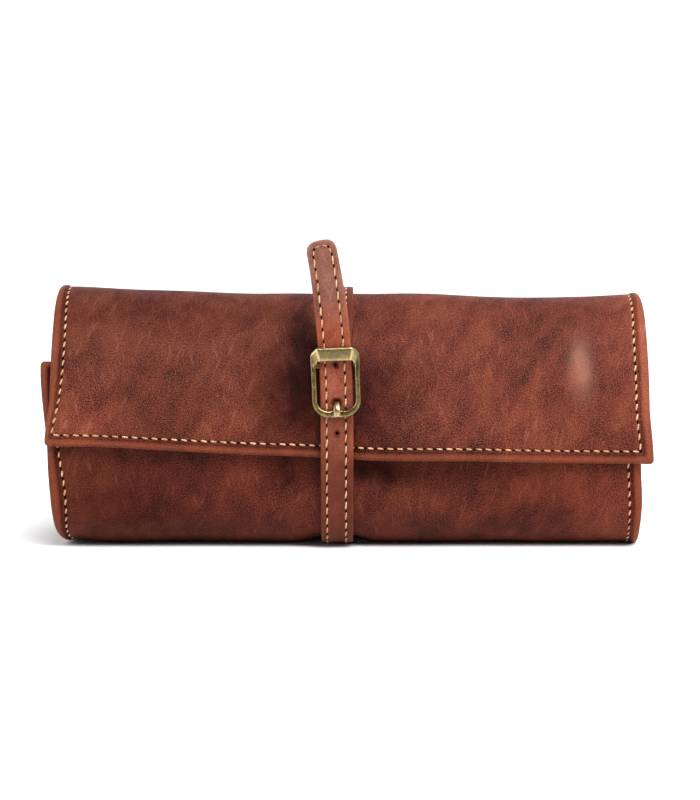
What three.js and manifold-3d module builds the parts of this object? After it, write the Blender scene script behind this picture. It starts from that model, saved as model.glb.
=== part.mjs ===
// Leather brush roll: one lined leather sheet with a row of pockets, wound one and a sixth
// turns about an empty core and held shut by a strap with a buckle.
//
// Frame: X runs along the roll, Y from the front to the back, Z up. The roll lies on Z = 0,
// and the middle of its bounding box is over the origin. Sizes are in millimetres.
//
// The sheet is measured by s, the distance along its outer face from the flap edge: up the
// front, over the crest, down the back, along the bottom and up inside the flap. The depth n
// is measured inward from the outer face. The heading of the sheet is an angle from straight
// up, turning toward the back, in degrees.

import * as THREE from 'three';
import { mergeVertices } from 'three/addons/utils/BufferGeometryUtils.js';
import Module from 'manifold-3d';

const wasm = await Module();
wasm.setup();

const RAD = Math.PI / 180;

// ---- driving dimensions ----
const SHEET_WIDTH = 288.4;
const ROLL_HEIGHT = 123;
const FLAP_FRONT = -44.7;
const WIDEST_HEIGHT = 52;
const FLAP_OVERHANG = 6;
const FLAP_EDGE_SLOPE = 8.7 / 290;

const COVER_THICKNESS = 1.8;
const LINING_THICKNESS = 0.9;
const POCKET_THICKNESS = 1.0;
const GAP = 0.3;
const LINING_INSET = 1.2;
const POCKET_INSET = 2.4;
const POCKET_DEPTH = 182;

const STRAP_WIDTH = 15.4;
const STRAP_THICKNESS = 3.2;
const STRAP_X = -6;
const STRAP_TIP_HEIGHT = 150;
const STRAP_TIP_LEAN = 7.7;
const HOLE_PITCH = 16.5;
const HOLE_RADIUS = 1.2;
const WORN_HOLE = { radius: 1.9, stretch: 1.45 };

const BUCKLE_WIDTH = 23.2;
const BUCKLE_BOTTOM = 66;
const BUCKLE_TOP = 99.4;
const BUCKLE_RAIL = 2.5;
const BUCKLE_BOTTOM_RAIL = 3.3;
const BUCKLE_CORNER = 7.6;
const KEEPER_HEIGHT = 6.4;
const BUCKLE_PLATE = 2.4;
const BAR_RADIUS = 1.1;
const TONGUE_WIDTH = 3.2;
const TONGUE_THICKNESS = 1.5;
const CHAPE_LOOP_RADIUS = 2.75;

// ---- the sheet's path: tangent arcs of [radius, turn in degrees] or straights of length ----
const SIDE_RADIUS = 98.3;
const SIDE_TURN = 36;
const CREST_RADIUS = 32;
const LOWER_RADIUS = 240;
const LOWER_TURN = 6;
const BACK_CORNER_RADIUS = 30;
const FRONT_CORNER_RADIUS = 28;
const INNER_RADIUS = 94.2;
const INNER_TURN = 24;
const BOTTOM_LENGTH = 25;

const path = [
  { length: FLAP_OVERHANG, turn: 0 },
  arc(SIDE_RADIUS, SIDE_TURN),
  arc(CREST_RADIUS, 180 - 2 * SIDE_TURN),
  arc(SIDE_RADIUS, SIDE_TURN),
  arc(LOWER_RADIUS, LOWER_TURN),
  arc(BACK_CORNER_RADIUS, 90 - LOWER_TURN),
  { length: BOTTOM_LENGTH, turn: 0 },
  arc(FRONT_CORNER_RADIUS, 90 - LOWER_TURN),
  arc(LOWER_RADIUS, LOWER_TURN),
  arc(INNER_RADIUS, INNER_TURN),
];
const starts = startOf(path);
const SHEET_LENGTH = path.reduce((sum, part) => sum + part.length, 0);

function arc(radius, turn) {
  return { length: radius * turn * RAD, turn };
}

// Where each stretch of the path starts, walked from the flap edge.
function startOf(stretches) {
  const list = [];
  let at = { s: 0, y: FLAP_FRONT, z: WIDEST_HEIGHT - FLAP_OVERHANG, heading: 0 };
  for (const stretch of stretches) {
    list.push(at);
    at = walk(at, stretch, stretch.length);
  }
  return list;
}

// The point a distance along one stretch.
function walk(from, stretch, distance) {
  const turn = (stretch.turn * distance) / stretch.length;
  const chord = turn === 0 ? distance : (2 * distance * Math.sin((turn * RAD) / 2)) / (turn * RAD);
  const middle = (from.heading + turn / 2) * RAD;
  return {
    s: from.s + distance,
    y: from.y + chord * Math.sin(middle),
    z: from.z + chord * Math.cos(middle),
    heading: from.heading + turn,
  };
}

function onPath(s) {
  let k = starts.length - 1;
  while (k > 0 && starts[k].s > s) k -= 1;
  return walk(starts[k], path[k], s - starts[k].s);
}

// ---- how the rolled sheet departs from a straight roll ----
function smooth(from, to, value) {
  const t = Math.min(Math.max((value - from) / (to - from), 0), 1);
  return t * t * (3 - 2 * t);
}

// The crest stands higher at the left end and dips right of the middle.
function crestLift(x) {
  return 3.2 * smooth(-40, -145, x) - 2 * Math.exp(-(((x - 93) / 34) ** 2)) * smooth(150, 120, x);
}

// The leather is pressed up where the strap passes under the roll.
function strapPress(x, heading) {
  const across = 1 - smooth(STRAP_WIDTH / 2 + 0.6, STRAP_WIDTH / 2 + 11, Math.abs(x - STRAP_X));
  return (STRAP_THICKNESS + GAP) * across * (1 - smooth(5, 52, Math.abs(heading - 270)));
}

// The sheet's left and right edges creep to the left toward the inner end.
function leftEdge(s) {
  return -SHEET_WIDTH / 2 - 1.5 * smooth(22, 0, s) - 5.4 * smooth(335, SHEET_LENGTH, s);
}

function rightEdge(s) {
  return SHEET_WIDTH / 2 + 1.2 * smooth(22, 0, s) - 4.8 * smooth(275, 335, s);
}

// A point of the sheet at distance s, place x along the roll and depth n under the outer face.
function sheetPoint(s, x, n) {
  const p = onPath(s);
  const heading = p.heading * RAD;
  const y = p.y + n * Math.cos(heading);
  const z = p.z - n * Math.sin(heading);
  const height = Math.max(z / ROLL_HEIGHT, 0);
  return new THREE.Vector3(x, y, z + crestLift(x) * height * height + strapPress(x, p.heading));
}

// ---- hinge lines, where the stiff slats of the chain meet ----
const hingeAt = {
  flap_lower: 30,
  flap_upper: 70,
  crest_4: 89,
  crest_3: 107,
  crest_2: 126,
  crest_1: 160,
  back_3: 208,
  back_2: 233,
  back_1: 257,
  front_1: 286,
  front_2: 311,
  front_3: 345,
};

const slats = [
  { name: 'flap_lower', from: 0, to: hingeAt.flap_lower },
  { name: 'flap_upper', from: hingeAt.flap_lower, to: hingeAt.flap_upper },
  { name: 'crest_4', from: hingeAt.flap_upper, to: hingeAt.crest_4 },
  { name: 'crest_3', from: hingeAt.crest_4, to: hingeAt.crest_3 },
  { name: 'crest_2', from: hingeAt.crest_3, to: hingeAt.crest_2 },
  { name: 'crest_1', from: hingeAt.crest_2, to: hingeAt.crest_1 },
  { name: 'back_3', from: hingeAt.crest_1, to: hingeAt.back_3 },
  { name: 'back_2', from: hingeAt.back_3, to: hingeAt.back_2 },
  { name: 'back_1', from: hingeAt.back_2, to: hingeAt.back_1 },
  { name: 'base', from: hingeAt.back_1, to: hingeAt.front_1 },
  { name: 'front_1', from: hingeAt.front_1, to: hingeAt.front_2 },
  { name: 'front_2', from: hingeAt.front_2, to: hingeAt.front_3 },
  { name: 'front_3', from: hingeAt.front_3, to: SHEET_LENGTH },
];

// ---- materials ----
function leather(color, roughness) {
  return new THREE.MeshStandardMaterial({ color, roughness, metalness: 0 });
}

const coverLeather = () => leather(0x6b2f1f, 0.5);
const liningLeather = () => leather(0x8a5a3c, 0.75);
const pocketLeather = () => leather(0x7a4029, 0.65);
const strapLeather = () => leather(0x8a4128, 0.5);
const brass = () => new THREE.MeshStandardMaterial({ color: 0x8f7a3e, roughness: 0.35, metalness: 1 });

// ---- solids ----
// A closed solid between two grids of points, outer and inner, of the same rows and columns.
function gridSolid(outer, inner) {
  const rows = outer.length;
  const columns = outer[0].length;
  const positions = [...outer.flat(), ...inner.flat()].flatMap((p) => [p.x, p.y, p.z]);
  const index = [];
  const top = (i, j) => i * columns + j;
  const under = (i, j) => rows * columns + i * columns + j;
  const quad = (a, b, c, d) => index.push(a, b, c, a, c, d);
  for (let i = 0; i < rows - 1; i += 1) {
    for (let j = 0; j < columns - 1; j += 1) {
      quad(top(i, j), top(i, j + 1), top(i + 1, j + 1), top(i + 1, j));
      quad(under(i, j), under(i + 1, j), under(i + 1, j + 1), under(i, j + 1));
    }
  }
  for (let i = 0; i < rows - 1; i += 1) {
    quad(top(i, 0), top(i + 1, 0), under(i + 1, 0), under(i, 0));
    quad(top(i, columns - 1), under(i, columns - 1), under(i + 1, columns - 1), top(i + 1, columns - 1));
  }
  for (let j = 0; j < columns - 1; j += 1) {
    quad(top(0, j), under(0, j), under(0, j + 1), top(0, j + 1));
    quad(top(rows - 1, j), top(rows - 1, j + 1), under(rows - 1, j + 1), under(rows - 1, j));
  }
  const geometry = new THREE.BufferGeometry();
  geometry.setAttribute('position', new THREE.Float32BufferAttribute(positions, 3));
  geometry.setIndex(index);
  geometry.computeVertexNormals();
  return geometry;
}

// Steps along s close enough for the bends of a slat.
function stepsAlong(from, to) {
  const turn = onPath(to).heading - onPath(from).heading;
  const count = Math.max(1, Math.ceil(turn / 11));
  return Array.from({ length: count + 1 }, (_, i) => from + ((to - from) * i) / count);
}

// Places along the roll where a slat's cross-section is set out. The slats under the roll
// have more of them beside the strap.
const STATIONS = [-95, -50, 60, 93, 125];
const PRESSED_STATIONS = [-24.6, -19, -14, 2, 7, 12.6];

function isPressed(slat) {
  return [slat.from, slat.to].some((s) => Math.abs(onPath(s).heading - 270) < 52);
}

// One slat of a layer of the sheet, from depth shallow to depth deep.
function layerSlat(slat, shallow, deep, inset, left = leftEdge, right = rightEdge) {
  const from = slat.from === 0 ? slat.from + inset : slat.from + GAP / 2;
  const to = slat.to === SHEET_LENGTH ? slat.to - inset : slat.to - GAP / 2;
  const stations = [...STATIONS, ...(isPressed(slat) ? PRESSED_STATIONS : [])];
  const between = stations.sort((a, b) => a - b).filter((x) => x < right(to) - inset - 4);
  const grid = (n) => stepsAlong(from, to).map((s) => {
    const ends = [left(s) + inset, right(s) - inset];
    return [ends[0], ...between, ends[1]].map((x) => {
      const skew = slat.from === 0 ? x * FLAP_EDGE_SLOPE * smooth(slat.to, 0, s) : 0;
      return sheetPoint(s - skew, x, n);
    });
  });
  return gridSolid(grid(shallow), grid(deep));
}

// A stretch of strap lying on the sheet's outer face.
function strapOnSheet(from, to, steps = stepsAlong(from, to)) {
  const half = STRAP_WIDTH / 2;
  const grid = (n) => steps.map((s) => [STRAP_X - half, STRAP_X + half].map((x) => sheetPoint(s, x, n)));
  return gridSolid(grid(-GAP - STRAP_THICKNESS), grid(-GAP));
}

// A strip across the strap's width, through a row of [y, z] places of its inner face.
function strapStrip(places, thickness = STRAP_THICKNESS) {
  const half = STRAP_WIDTH / 2;
  const normals = places.map((_, i) => {
    const a = places[Math.max(i - 1, 0)];
    const b = places[Math.min(i + 1, places.length - 1)];
    const length = Math.hypot(b[0] - a[0], b[1] - a[1]);
    return [-(b[1] - a[1]) / length, (b[0] - a[0]) / length];
  });
  const grid = (out) => places.map(([y, z], i) =>
    [STRAP_X - half, STRAP_X + half].map(
      (x) => new THREE.Vector3(x, y + out * normals[i][0], z + out * normals[i][1]),
    ));
  return gridSolid(grid(thickness), grid(0));
}

// ---- joining and cutting ----
function toManifold(geometry) {
  const bare = geometry.clone();
  bare.deleteAttribute('normal');
  bare.deleteAttribute('uv');
  const merged = mergeVertices(bare, 1e-4);
  return new wasm.Manifold(new wasm.Mesh({
    numProp: 3,
    vertProperties: new Float32Array(merged.attributes.position.array),
    triVerts: new Uint32Array(merged.index.array),
  }));
}

function toGeometry(manifold) {
  const mesh = manifold.getMesh();
  const geometry = new THREE.BufferGeometry();
  geometry.setAttribute('position', new THREE.BufferAttribute(new Float32Array(mesh.vertProperties), 3));
  geometry.setIndex(new THREE.BufferAttribute(new Uint32Array(mesh.triVerts), 1));
  geometry.computeVertexNormals();
  return geometry;
}

function join(geometries) {
  return toGeometry(geometries.map(toManifold).reduce((sum, next) => sum.add(next)));
}

function cut(geometry, tools) {
  return toGeometry(tools.map(toManifold).reduce((rest, tool) => rest.subtract(tool), toManifold(geometry)));
}

function box(width, depth, height, x, y, z) {
  return new THREE.BoxGeometry(width, depth, height).translate(x, y, z);
}

// A cylinder lying along X.
function rod(radius, length, x, y, z, sides = 16) {
  return new THREE.CylinderGeometry(radius, radius, length, sides).rotateZ(Math.PI / 2).translate(x, y, z);
}

// ---- the strap's free half, which stands upright before the flap ----
const billetBack = FLAP_FRONT - GAP;
const billetFront = billetBack - STRAP_THICKNESS;
const flapEdgeHeight = WIDEST_HEIGHT - FLAP_OVERHANG;
const billetBottom = flapEdgeHeight + GAP / 2;
const barHeight = BUCKLE_TOP - KEEPER_HEIGHT - 3;
const tongueHole = barHeight - 15.3;
const tipStart = BUCKLE_TOP + 1;

// The strip from the front corner to the flap edge: along the corner, then straight.
function bridgePlaces() {
  const corner = starts[7];
  const centre = [corner.y, corner.z + FRONT_CORNER_RADIUS];
  const radius = FRONT_CORNER_RADIUS + GAP;
  const reach = [billetBack - centre[0], flapEdgeHeight - centre[1]];
  const distance = Math.hypot(reach[0], reach[1]);
  const leave = Math.atan2(reach[1], reach[0]) + Math.acos(radius / distance);
  const first = onPath(hingeAt.front_2 + GAP / 2).heading * RAD;
  const begin = Math.atan2(Math.sin(first), -Math.cos(first)) + 2 * Math.PI;
  const places = [];
  for (let i = 0; i <= 3; i += 1) {
    const angle = begin + ((leave - begin) * i) / 3;
    places.push([centre[0] + radius * Math.cos(angle), centre[1] + radius * Math.sin(angle)]);
  }
  places.push([billetBack, flapEdgeHeight - GAP / 2]);
  return places;
}

function billet() {
  const height = tipStart - GAP / 2 - billetBottom;
  const strip = box(
    STRAP_WIDTH, STRAP_THICKNESS, height,
    STRAP_X, billetBack - STRAP_THICKNESS / 2, billetBottom + height / 2,
  );
  const punch = (radius, stretch, height) =>
    new THREE.CylinderGeometry(radius, radius, 3 * STRAP_THICKNESS, 12)
      .scale(1, 1, stretch).translate(STRAP_X, billetBack, height);
  return cut(strip, [
    punch(HOLE_RADIUS, 1, tongueHole - HOLE_PITCH),
    punch(WORN_HOLE.radius, WORN_HOLE.stretch, tongueHole),
    punch(HOLE_RADIUS, 1, tongueHole + HOLE_PITCH),
  ]);
}

// The tip leans left and narrows to a round end.
function strapTip() {
  const half = STRAP_WIDTH / 2;
  const round = half - 1;
  const straight = STRAP_TIP_HEIGHT - round - tipStart;
  const lean = (rise) => -STRAP_TIP_LEAN * (rise / (STRAP_TIP_HEIGHT - tipStart)) ** 1.4;
  const side = (sign) => [0, 0.33, 0.67, 1].map((t) =>
    [sign * (half - t) + lean(t * straight), t * straight]);
  const arcPoints = [30, 60, 90, 120, 150].map((a) =>
    [round * Math.cos(a * RAD) + lean(straight + round * Math.sin(a * RAD)), straight + round * Math.sin(a * RAD)]);
  const outline = [...side(1), ...arcPoints, ...side(-1).reverse()];
  const shape = new THREE.Shape(outline.map(([x, z]) => new THREE.Vector2(x, z)));
  const geometry = new THREE.ExtrudeGeometry(shape, { depth: STRAP_THICKNESS, bevelEnabled: false });
  return geometry.rotateX(Math.PI / 2).translate(STRAP_X, billetBack, tipStart + GAP / 2);
}

// ---- the buckle ----
const barPlace = { y: billetBack + GAP + CHAPE_LOOP_RADIUS, z: barHeight };
const plateBack = billetFront - GAP;
const plateFront = plateBack - BUCKLE_PLATE;

// The chape lies on the flap, and its end turns round the bar.
const CHAPE_LEAVES_FLAP = 53;

function chape() {
  const lying = strapOnSheet(CHAPE_LEAVES_FLAP, hingeAt.flap_upper - GAP / 2);
  const leaves = sheetPoint(CHAPE_LEAVES_FLAP + 0.5, STRAP_X, -GAP);
  const neck = strapStrip([[barPlace.y + 1.3, barPlace.z + 1], [leaves.y, leaves.z]]);
  const ring = rod(CHAPE_LOOP_RADIUS, STRAP_WIDTH, STRAP_X, barPlace.y, barPlace.z, 20);
  const bore = rod(BAR_RADIUS + 0.15, STRAP_WIDTH + 4, STRAP_X, barPlace.y, barPlace.z, 20);
  const slot = box(TONGUE_WIDTH + 1, 12, 7.5, STRAP_X, barPlace.y, barPlace.z - 1.2);
  return cut(join([lying, neck, ring]), [bore, slot]);
}

function roundedPlate(halfWidth, low, high, corner) {
  const shape = new THREE.Shape();
  shape.moveTo(-halfWidth + corner, low);
  shape.lineTo(halfWidth - corner, low);
  shape.absarc(halfWidth - corner, low + corner, corner, -Math.PI / 2, 0);
  shape.lineTo(halfWidth, high - 1.5);
  shape.lineTo(halfWidth - 1.5, high);
  shape.lineTo(-halfWidth + 1.5, high);
  shape.lineTo(-halfWidth, high - 1.5);
  shape.absarc(-halfWidth + corner, low + corner, corner, Math.PI, 1.5 * Math.PI);
  return shape;
}

function buckleFrame() {
  const outline = roundedPlate(BUCKLE_WIDTH / 2, BUCKLE_BOTTOM, BUCKLE_TOP, BUCKLE_CORNER);
  const inside = roundedPlate(
    BUCKLE_WIDTH / 2 - BUCKLE_RAIL, BUCKLE_BOTTOM + BUCKLE_BOTTOM_RAIL,
    BUCKLE_TOP - KEEPER_HEIGHT, BUCKLE_CORNER - BUCKLE_RAIL,
  );
  outline.holes.push(inside);
  const plate = new THREE.ExtrudeGeometry(outline, { depth: BUCKLE_PLATE, bevelEnabled: false, curveSegments: 6 })
    .rotateX(Math.PI / 2).translate(STRAP_X, plateBack, 0);
  const lugX = (BUCKLE_WIDTH - BUCKLE_RAIL) / 2;
  const lugBack = barPlace.y + BAR_RADIUS + 1.2;
  const lugs = [-1, 1].map((side) =>
    box(BUCKLE_RAIL, lugBack - plateFront - 0.4, 8.4, STRAP_X + side * lugX,
      (lugBack + plateFront + 0.4) / 2, barPlace.z + 1.8));
  const bore = rod(BAR_RADIUS + GAP, BUCKLE_WIDTH + 4, STRAP_X, barPlace.y, barPlace.z, 16);
  const notch = box(TONGUE_WIDTH + 1.2, 1.1, 12, STRAP_X, plateFront + 0.3, BUCKLE_BOTTOM);
  return cut(join([plate, ...lugs]), [bore, notch]);
}

function buckleBar() {
  return rod(BAR_RADIUS, BUCKLE_WIDTH - 0.6, STRAP_X, barPlace.y, barPlace.z, 16);
}

// The tongue hangs from the bar behind the strap, comes out of the hole and lies in the notch.
function tongue() {
  const half = TONGUE_THICKNESS / 2;
  const places = [
    [barPlace.y - 0.6, barPlace.z - 2],
    [billetBack + GAP + 0.15 + half, tongueHole + 4.5],
    [billetBack + GAP + 0.15 + half, tongueHole + 0.8],
    [billetFront - GAP, tongueHole - 0.5],
    [plateFront + 0.35 - half, tongueHole - 3.2],
    [plateFront + 0.1 - half, BUCKLE_BOTTOM + 0.6],
  ];
  const line = new THREE.CatmullRomCurve3(
    places.map(([y, z]) => new THREE.Vector3(0, y, z)), false, 'centripetal',
  );
  const points = line.getPoints(16);
  const sides = points.map((p, i) => {
    const t = line.getTangent(i / 16);
    return [-t.z, t.y].map((v) => v * half);
  });
  const row = (sign) => points.map((p, i) =>
    [-1, 1].map((across) => new THREE.Vector3(
      STRAP_X + (across * TONGUE_WIDTH) / 2, p.y + sign * sides[i][0], p.z + sign * sides[i][1],
    )));
  const blade = gridSolid(row(1), row(-1));
  const ring = rod(BAR_RADIUS + 1.45, TONGUE_WIDTH, STRAP_X, barPlace.y, barPlace.z, 20);
  const bore = rod(BAR_RADIUS + 0.2, TONGUE_WIDTH + 4, STRAP_X, barPlace.y, barPlace.z, 20);
  return cut(join([blade, ring]), [bore]);
}

// ---- assembly: nested groups follow the chain, each placed at its hinge line ----
function hingePoint(slatName) {
  if (slatName === 'base') return new THREE.Vector3(0, 0, 0);
  const p = onPath(hingeAt[slatName]);
  return new THREE.Vector3(0, p.y, p.z);
}

const group = new THREE.Group();
group.position.set(2.1, 1.5, 0);

const pivots = { base: new THREE.Group() };
group.add(pivots.base);

function addPivot(name, parent, point, parentPoint) {
  const pivot = new THREE.Group();
  pivot.position.copy(point).sub(parentPoint);
  pivots[parent].add(pivot);
  pivots[name] = pivot;
}

const chains = [
  ['base', 'back_1', 'back_2', 'back_3', 'crest_1', 'crest_2', 'crest_3', 'crest_4', 'flap_upper', 'flap_lower'],
  ['base', 'front_1', 'front_2', 'front_3'],
];
for (const chain of chains) {
  for (let i = 1; i < chain.length; i += 1) {
    addPivot(chain[i], chain[i - 1], hingePoint(chain[i]), hingePoint(chain[i - 1]));
  }
}

const strapFold = new THREE.Vector3(0, billetFront, flapEdgeHeight);
const tipFold = new THREE.Vector3(0, billetBack - STRAP_THICKNESS / 2, tipStart);
const barPoint = new THREE.Vector3(0, barPlace.y, barPlace.z);
addPivot('billet', 'front_2', strapFold, hingePoint('front_2'));
addPivot('strap_end', 'billet', tipFold, strapFold);
addPivot('buckle', 'flap_upper', barPoint, hingePoint('flap_upper'));
addPivot('tongue', 'buckle', barPoint, barPoint);

function addPart(name, geometry, material, pivotName, pivotPoint) {
  const mesh = new THREE.Mesh(geometry.translate(-pivotPoint.x, -pivotPoint.y, -pivotPoint.z), material);
  mesh.name = name;
  pivots[pivotName].add(mesh);
}

const liningDepth = COVER_THICKNESS + GAP;
const pocketDepthIn = liningDepth + LINING_THICKNESS + GAP;
const pocketRight = (s) => leftEdge(s) + POCKET_DEPTH + 2 * POCKET_INSET;
const pocketSlats = ['crest_1', 'back_3', 'back_2', 'back_1', 'base', 'front_1', 'front_2', 'front_3'];

for (const slat of slats) {
  const at = hingePoint(slat.name);
  addPart(`cover_${slat.name}`, layerSlat(slat, 0, COVER_THICKNESS, 0), coverLeather(), slat.name, at);
  const lining = layerSlat(slat, liningDepth, liningDepth + LINING_THICKNESS, LINING_INSET);
  addPart(`lining_${slat.name}`, lining, liningLeather(), slat.name, at);
}

for (const slat of slats.filter(({ name }) => pocketSlats.includes(name))) {
  const deep = pocketDepthIn + POCKET_THICKNESS;
  const panel = layerSlat(slat, pocketDepthIn, deep, POCKET_INSET, leftEdge, pocketRight);
  addPart(`pocket_${slat.name}`, panel, pocketLeather(), slat.name, hingePoint(slat.name));
}

const strapSlats = ['crest_4', 'crest_3', 'crest_2', 'crest_1', 'back_3', 'back_2', 'back_1', 'base', 'front_1'];
for (const slat of slats.filter(({ name }) => strapSlats.includes(name))) {
  const strip = strapOnSheet(slat.from + GAP / 2, slat.to - GAP / 2);
  addPart(`strap_${slat.name}`, strip, strapLeather(), slat.name, hingePoint(slat.name));
}

addPart('strap_chape', chape(), strapLeather(), 'flap_upper', hingePoint('flap_upper'));
addPart('strap_front_2', strapStrip(bridgePlaces()), strapLeather(), 'front_2', hingePoint('front_2'));
addPart('strap_billet', billet(), strapLeather(), 'billet', strapFold);
addPart('strap_tip', strapTip(), strapLeather(), 'strap_end', tipFold);
addPart('buckle_frame', buckleFrame(), brass(), 'buckle', barPoint);
addPart('buckle_bar', buckleBar(), brass(), 'buckle', barPoint);
addPart('buckle_tongue', tongue(), brass(), 'tongue', barPoint);

export default group;
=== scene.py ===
"""Leather brush roll, rolled up and buckled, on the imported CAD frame.

Work is in millimetres in the CAD part's own frame until a mesh is made; ORIGIN and MM
bring it to the row frame in metres.
"""

import math

import bmesh
import bpy
import numpy as np
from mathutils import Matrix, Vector


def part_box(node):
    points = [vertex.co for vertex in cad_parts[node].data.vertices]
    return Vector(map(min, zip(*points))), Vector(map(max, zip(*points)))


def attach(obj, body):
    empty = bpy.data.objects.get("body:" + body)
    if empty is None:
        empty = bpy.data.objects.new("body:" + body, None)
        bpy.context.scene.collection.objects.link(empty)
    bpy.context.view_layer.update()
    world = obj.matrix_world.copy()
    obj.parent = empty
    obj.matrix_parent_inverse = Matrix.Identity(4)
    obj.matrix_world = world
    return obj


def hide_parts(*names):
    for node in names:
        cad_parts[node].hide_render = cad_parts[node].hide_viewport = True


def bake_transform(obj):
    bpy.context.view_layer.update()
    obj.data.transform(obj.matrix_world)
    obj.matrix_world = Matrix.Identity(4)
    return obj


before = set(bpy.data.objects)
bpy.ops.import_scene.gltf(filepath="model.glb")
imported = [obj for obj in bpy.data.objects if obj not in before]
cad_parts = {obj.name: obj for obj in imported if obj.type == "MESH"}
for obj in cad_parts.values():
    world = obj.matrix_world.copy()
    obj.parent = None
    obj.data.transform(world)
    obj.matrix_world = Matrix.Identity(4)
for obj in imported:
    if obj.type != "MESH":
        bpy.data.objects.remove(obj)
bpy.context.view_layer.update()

scene = bpy.context.scene
MM = 0.001

# ---- dimensions shared with the CAD, in millimetres ----
SHEET_WIDTH = 288.4
ROLL_HEIGHT = 123.0
FLAP_FRONT = -44.7
FLAP_START = 46.0
EDGE_SLOPE = 8.7 / 290
FLAP_SKEW = 30.0
INNER_SLOPE = 0.012
GAP = 0.3
COVER_THICKNESS = 1.8
POCKET_DEPTH = 182.0
POCKET_INSET = 2.4
POCKET_FROM = 126.2
STRAP_WIDTH = 15.4
STRAP_THICKNESS = 3.2
STRAP_X = -6.0
STRAP_TOP = 150.0
BAR_RADIUS = 1.1

# The CAD part's own origin and the buckle's bar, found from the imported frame.
bar_low, bar_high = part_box("buckle_bar")
bar_row = np.array((bar_low + bar_high) / 2) / MM
ORIGIN = np.array([bar_row[0] - STRAP_X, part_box("cover_flap_lower")[0].y / MM - FLAP_FRONT, 0.0])
BAR = bar_row - ORIGIN

# ---- the sheet's path: (length, turn in degrees) from the flap edge ----


def arc(radius, turn):
    return radius * math.radians(turn), turn


FRONT_CORNER = 28
PATH = [
    (6.0, 0.0), arc(98.3, 36), arc(32, 108), arc(98.3, 36), arc(240, 6),
    arc(30, 84), (25.0, 0.0), arc(FRONT_CORNER, 84), arc(240, 6), arc(94.2, 24),
]
SHEET_LENGTH = sum(length for length, _ in PATH)
SLATS = [
    "flap_lower", "flap_upper", "crest_4", "crest_3", "crest_2", "crest_1", "back_3",
    "back_2", "back_1", "base", "front_1", "front_2", "front_3",
]
INNER_END = 345
SLAT_EDGES = [0, 30, 70, 89, 107, 126, 160, 208, 233, 257, 286, 311, INNER_END, SHEET_LENGTH]
SPAN_COUNT = len(SLATS) - 1
LAST_SPAN = SPAN_COUNT - 1


def walk(start, stretch, distance):
    s, y, z, heading = start
    length, turn = stretch
    t = turn * distance / length
    half = np.radians(t / 2)
    chord = distance * np.sinc(half / np.pi)
    middle = np.radians(heading) + half
    return s + distance, y + chord * np.sin(middle), z + chord * np.cos(middle), heading + t


STARTS = [(0.0, FLAP_FRONT, FLAP_START, 0.0)]
for stretch in PATH[:-1]:
    STARTS.append(walk(STARTS[-1], stretch, stretch[0]))


def on_path(s):
    """y, z and heading of the sheet's outer face at distances s."""
    s = np.asarray(s, float)
    out = [np.zeros_like(s) for _ in range(3)]
    for k, start in enumerate(STARTS):
        here = (s >= start[0]) | (k == 0)
        _, y, z, heading = walk(start, PATH[k], s[here] - start[0])
        for array, value in zip(out, (y, z, heading)):
            array[here] = value
    return out


def smooth(a, b, value):
    t = np.clip((value - a) / (b - a), 0, 1)
    return t * t * (3 - 2 * t)


# How far the flap's cut edge strays from a straight line at places along the roll, from
# measuring that edge in the photo, rounded.
TRIM_AT = (-146, -120, -81, -53, -24, 2, 26, 55, 84, 112, 139)
TRIM = (0.57, 1.15, 0.4, -0.1, -0.2, -0.95, -0.75, 0.2, 0.4, 0.65, 1.05)


def flap_trim(x):
    return sum(np.interp(x + shift, TRIM_AT, TRIM) for shift in (-9, -3, 3, 9)) / 4


def crest_lift(x):
    return 3.2 * smooth(-40, -145, x) - 2 * np.exp(-(((x - 93) / 34) ** 2)) * smooth(150, 120, x)


def beside_strap(x, fade):
    return 1 - smooth(STRAP_WIDTH / 2 + 0.6, STRAP_WIDTH / 2 + fade, np.abs(x - STRAP_X))


def strap_press(x, heading):
    return (STRAP_THICKNESS + GAP) * beside_strap(x, 11) * (1 - smooth(5, 52, np.abs(heading - 270)))


def corner_round(distance, radius=2.2):
    d = np.clip(distance, 0, radius)
    return radius - np.sqrt(radius**2 - (radius - d) ** 2)


def left_edge(s):
    creep = -2.3 * smooth(30, 0, s) - 1.7 * smooth(305, INNER_END, s)
    creep = creep - 3.9 * smooth(INNER_END, SHEET_LENGTH, s)
    drawn_in = 2.4 * smooth(231, 257, s) * smooth(309, 284, s)
    return -SHEET_WIDTH / 2 + creep + drawn_in + corner_round(s) + corner_round(SHEET_LENGTH - s)


def right_edge(s):
    creep = 2.1 * smooth(26, 0, s) - 2.3 * smooth(270, 310, s) - 1.1 * smooth(320, INNER_END, s)
    return SHEET_WIDTH / 2 + creep - corner_round(s) - corner_round(SHEET_LENGTH - s)


# The leather is not quite even: long low waves, left out under the strap.
random = np.random.default_rng(7)
# Each wave's height, its turns along x and s, and its phase.
WAVE_RANGES = (0.05, 0.11), (-0.14, 0.14), (-0.11, 0.11), (0, 6.3)
WAVES = [[random.uniform(*ends) for ends in WAVE_RANGES] for _ in range(9)]


def waves(s, x):
    total = sum(a * np.sin(kx * x + ks * s + phase) for a, kx, ks, phase in WAVES)
    return total * (1 - beside_strap(x, 14))


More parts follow.
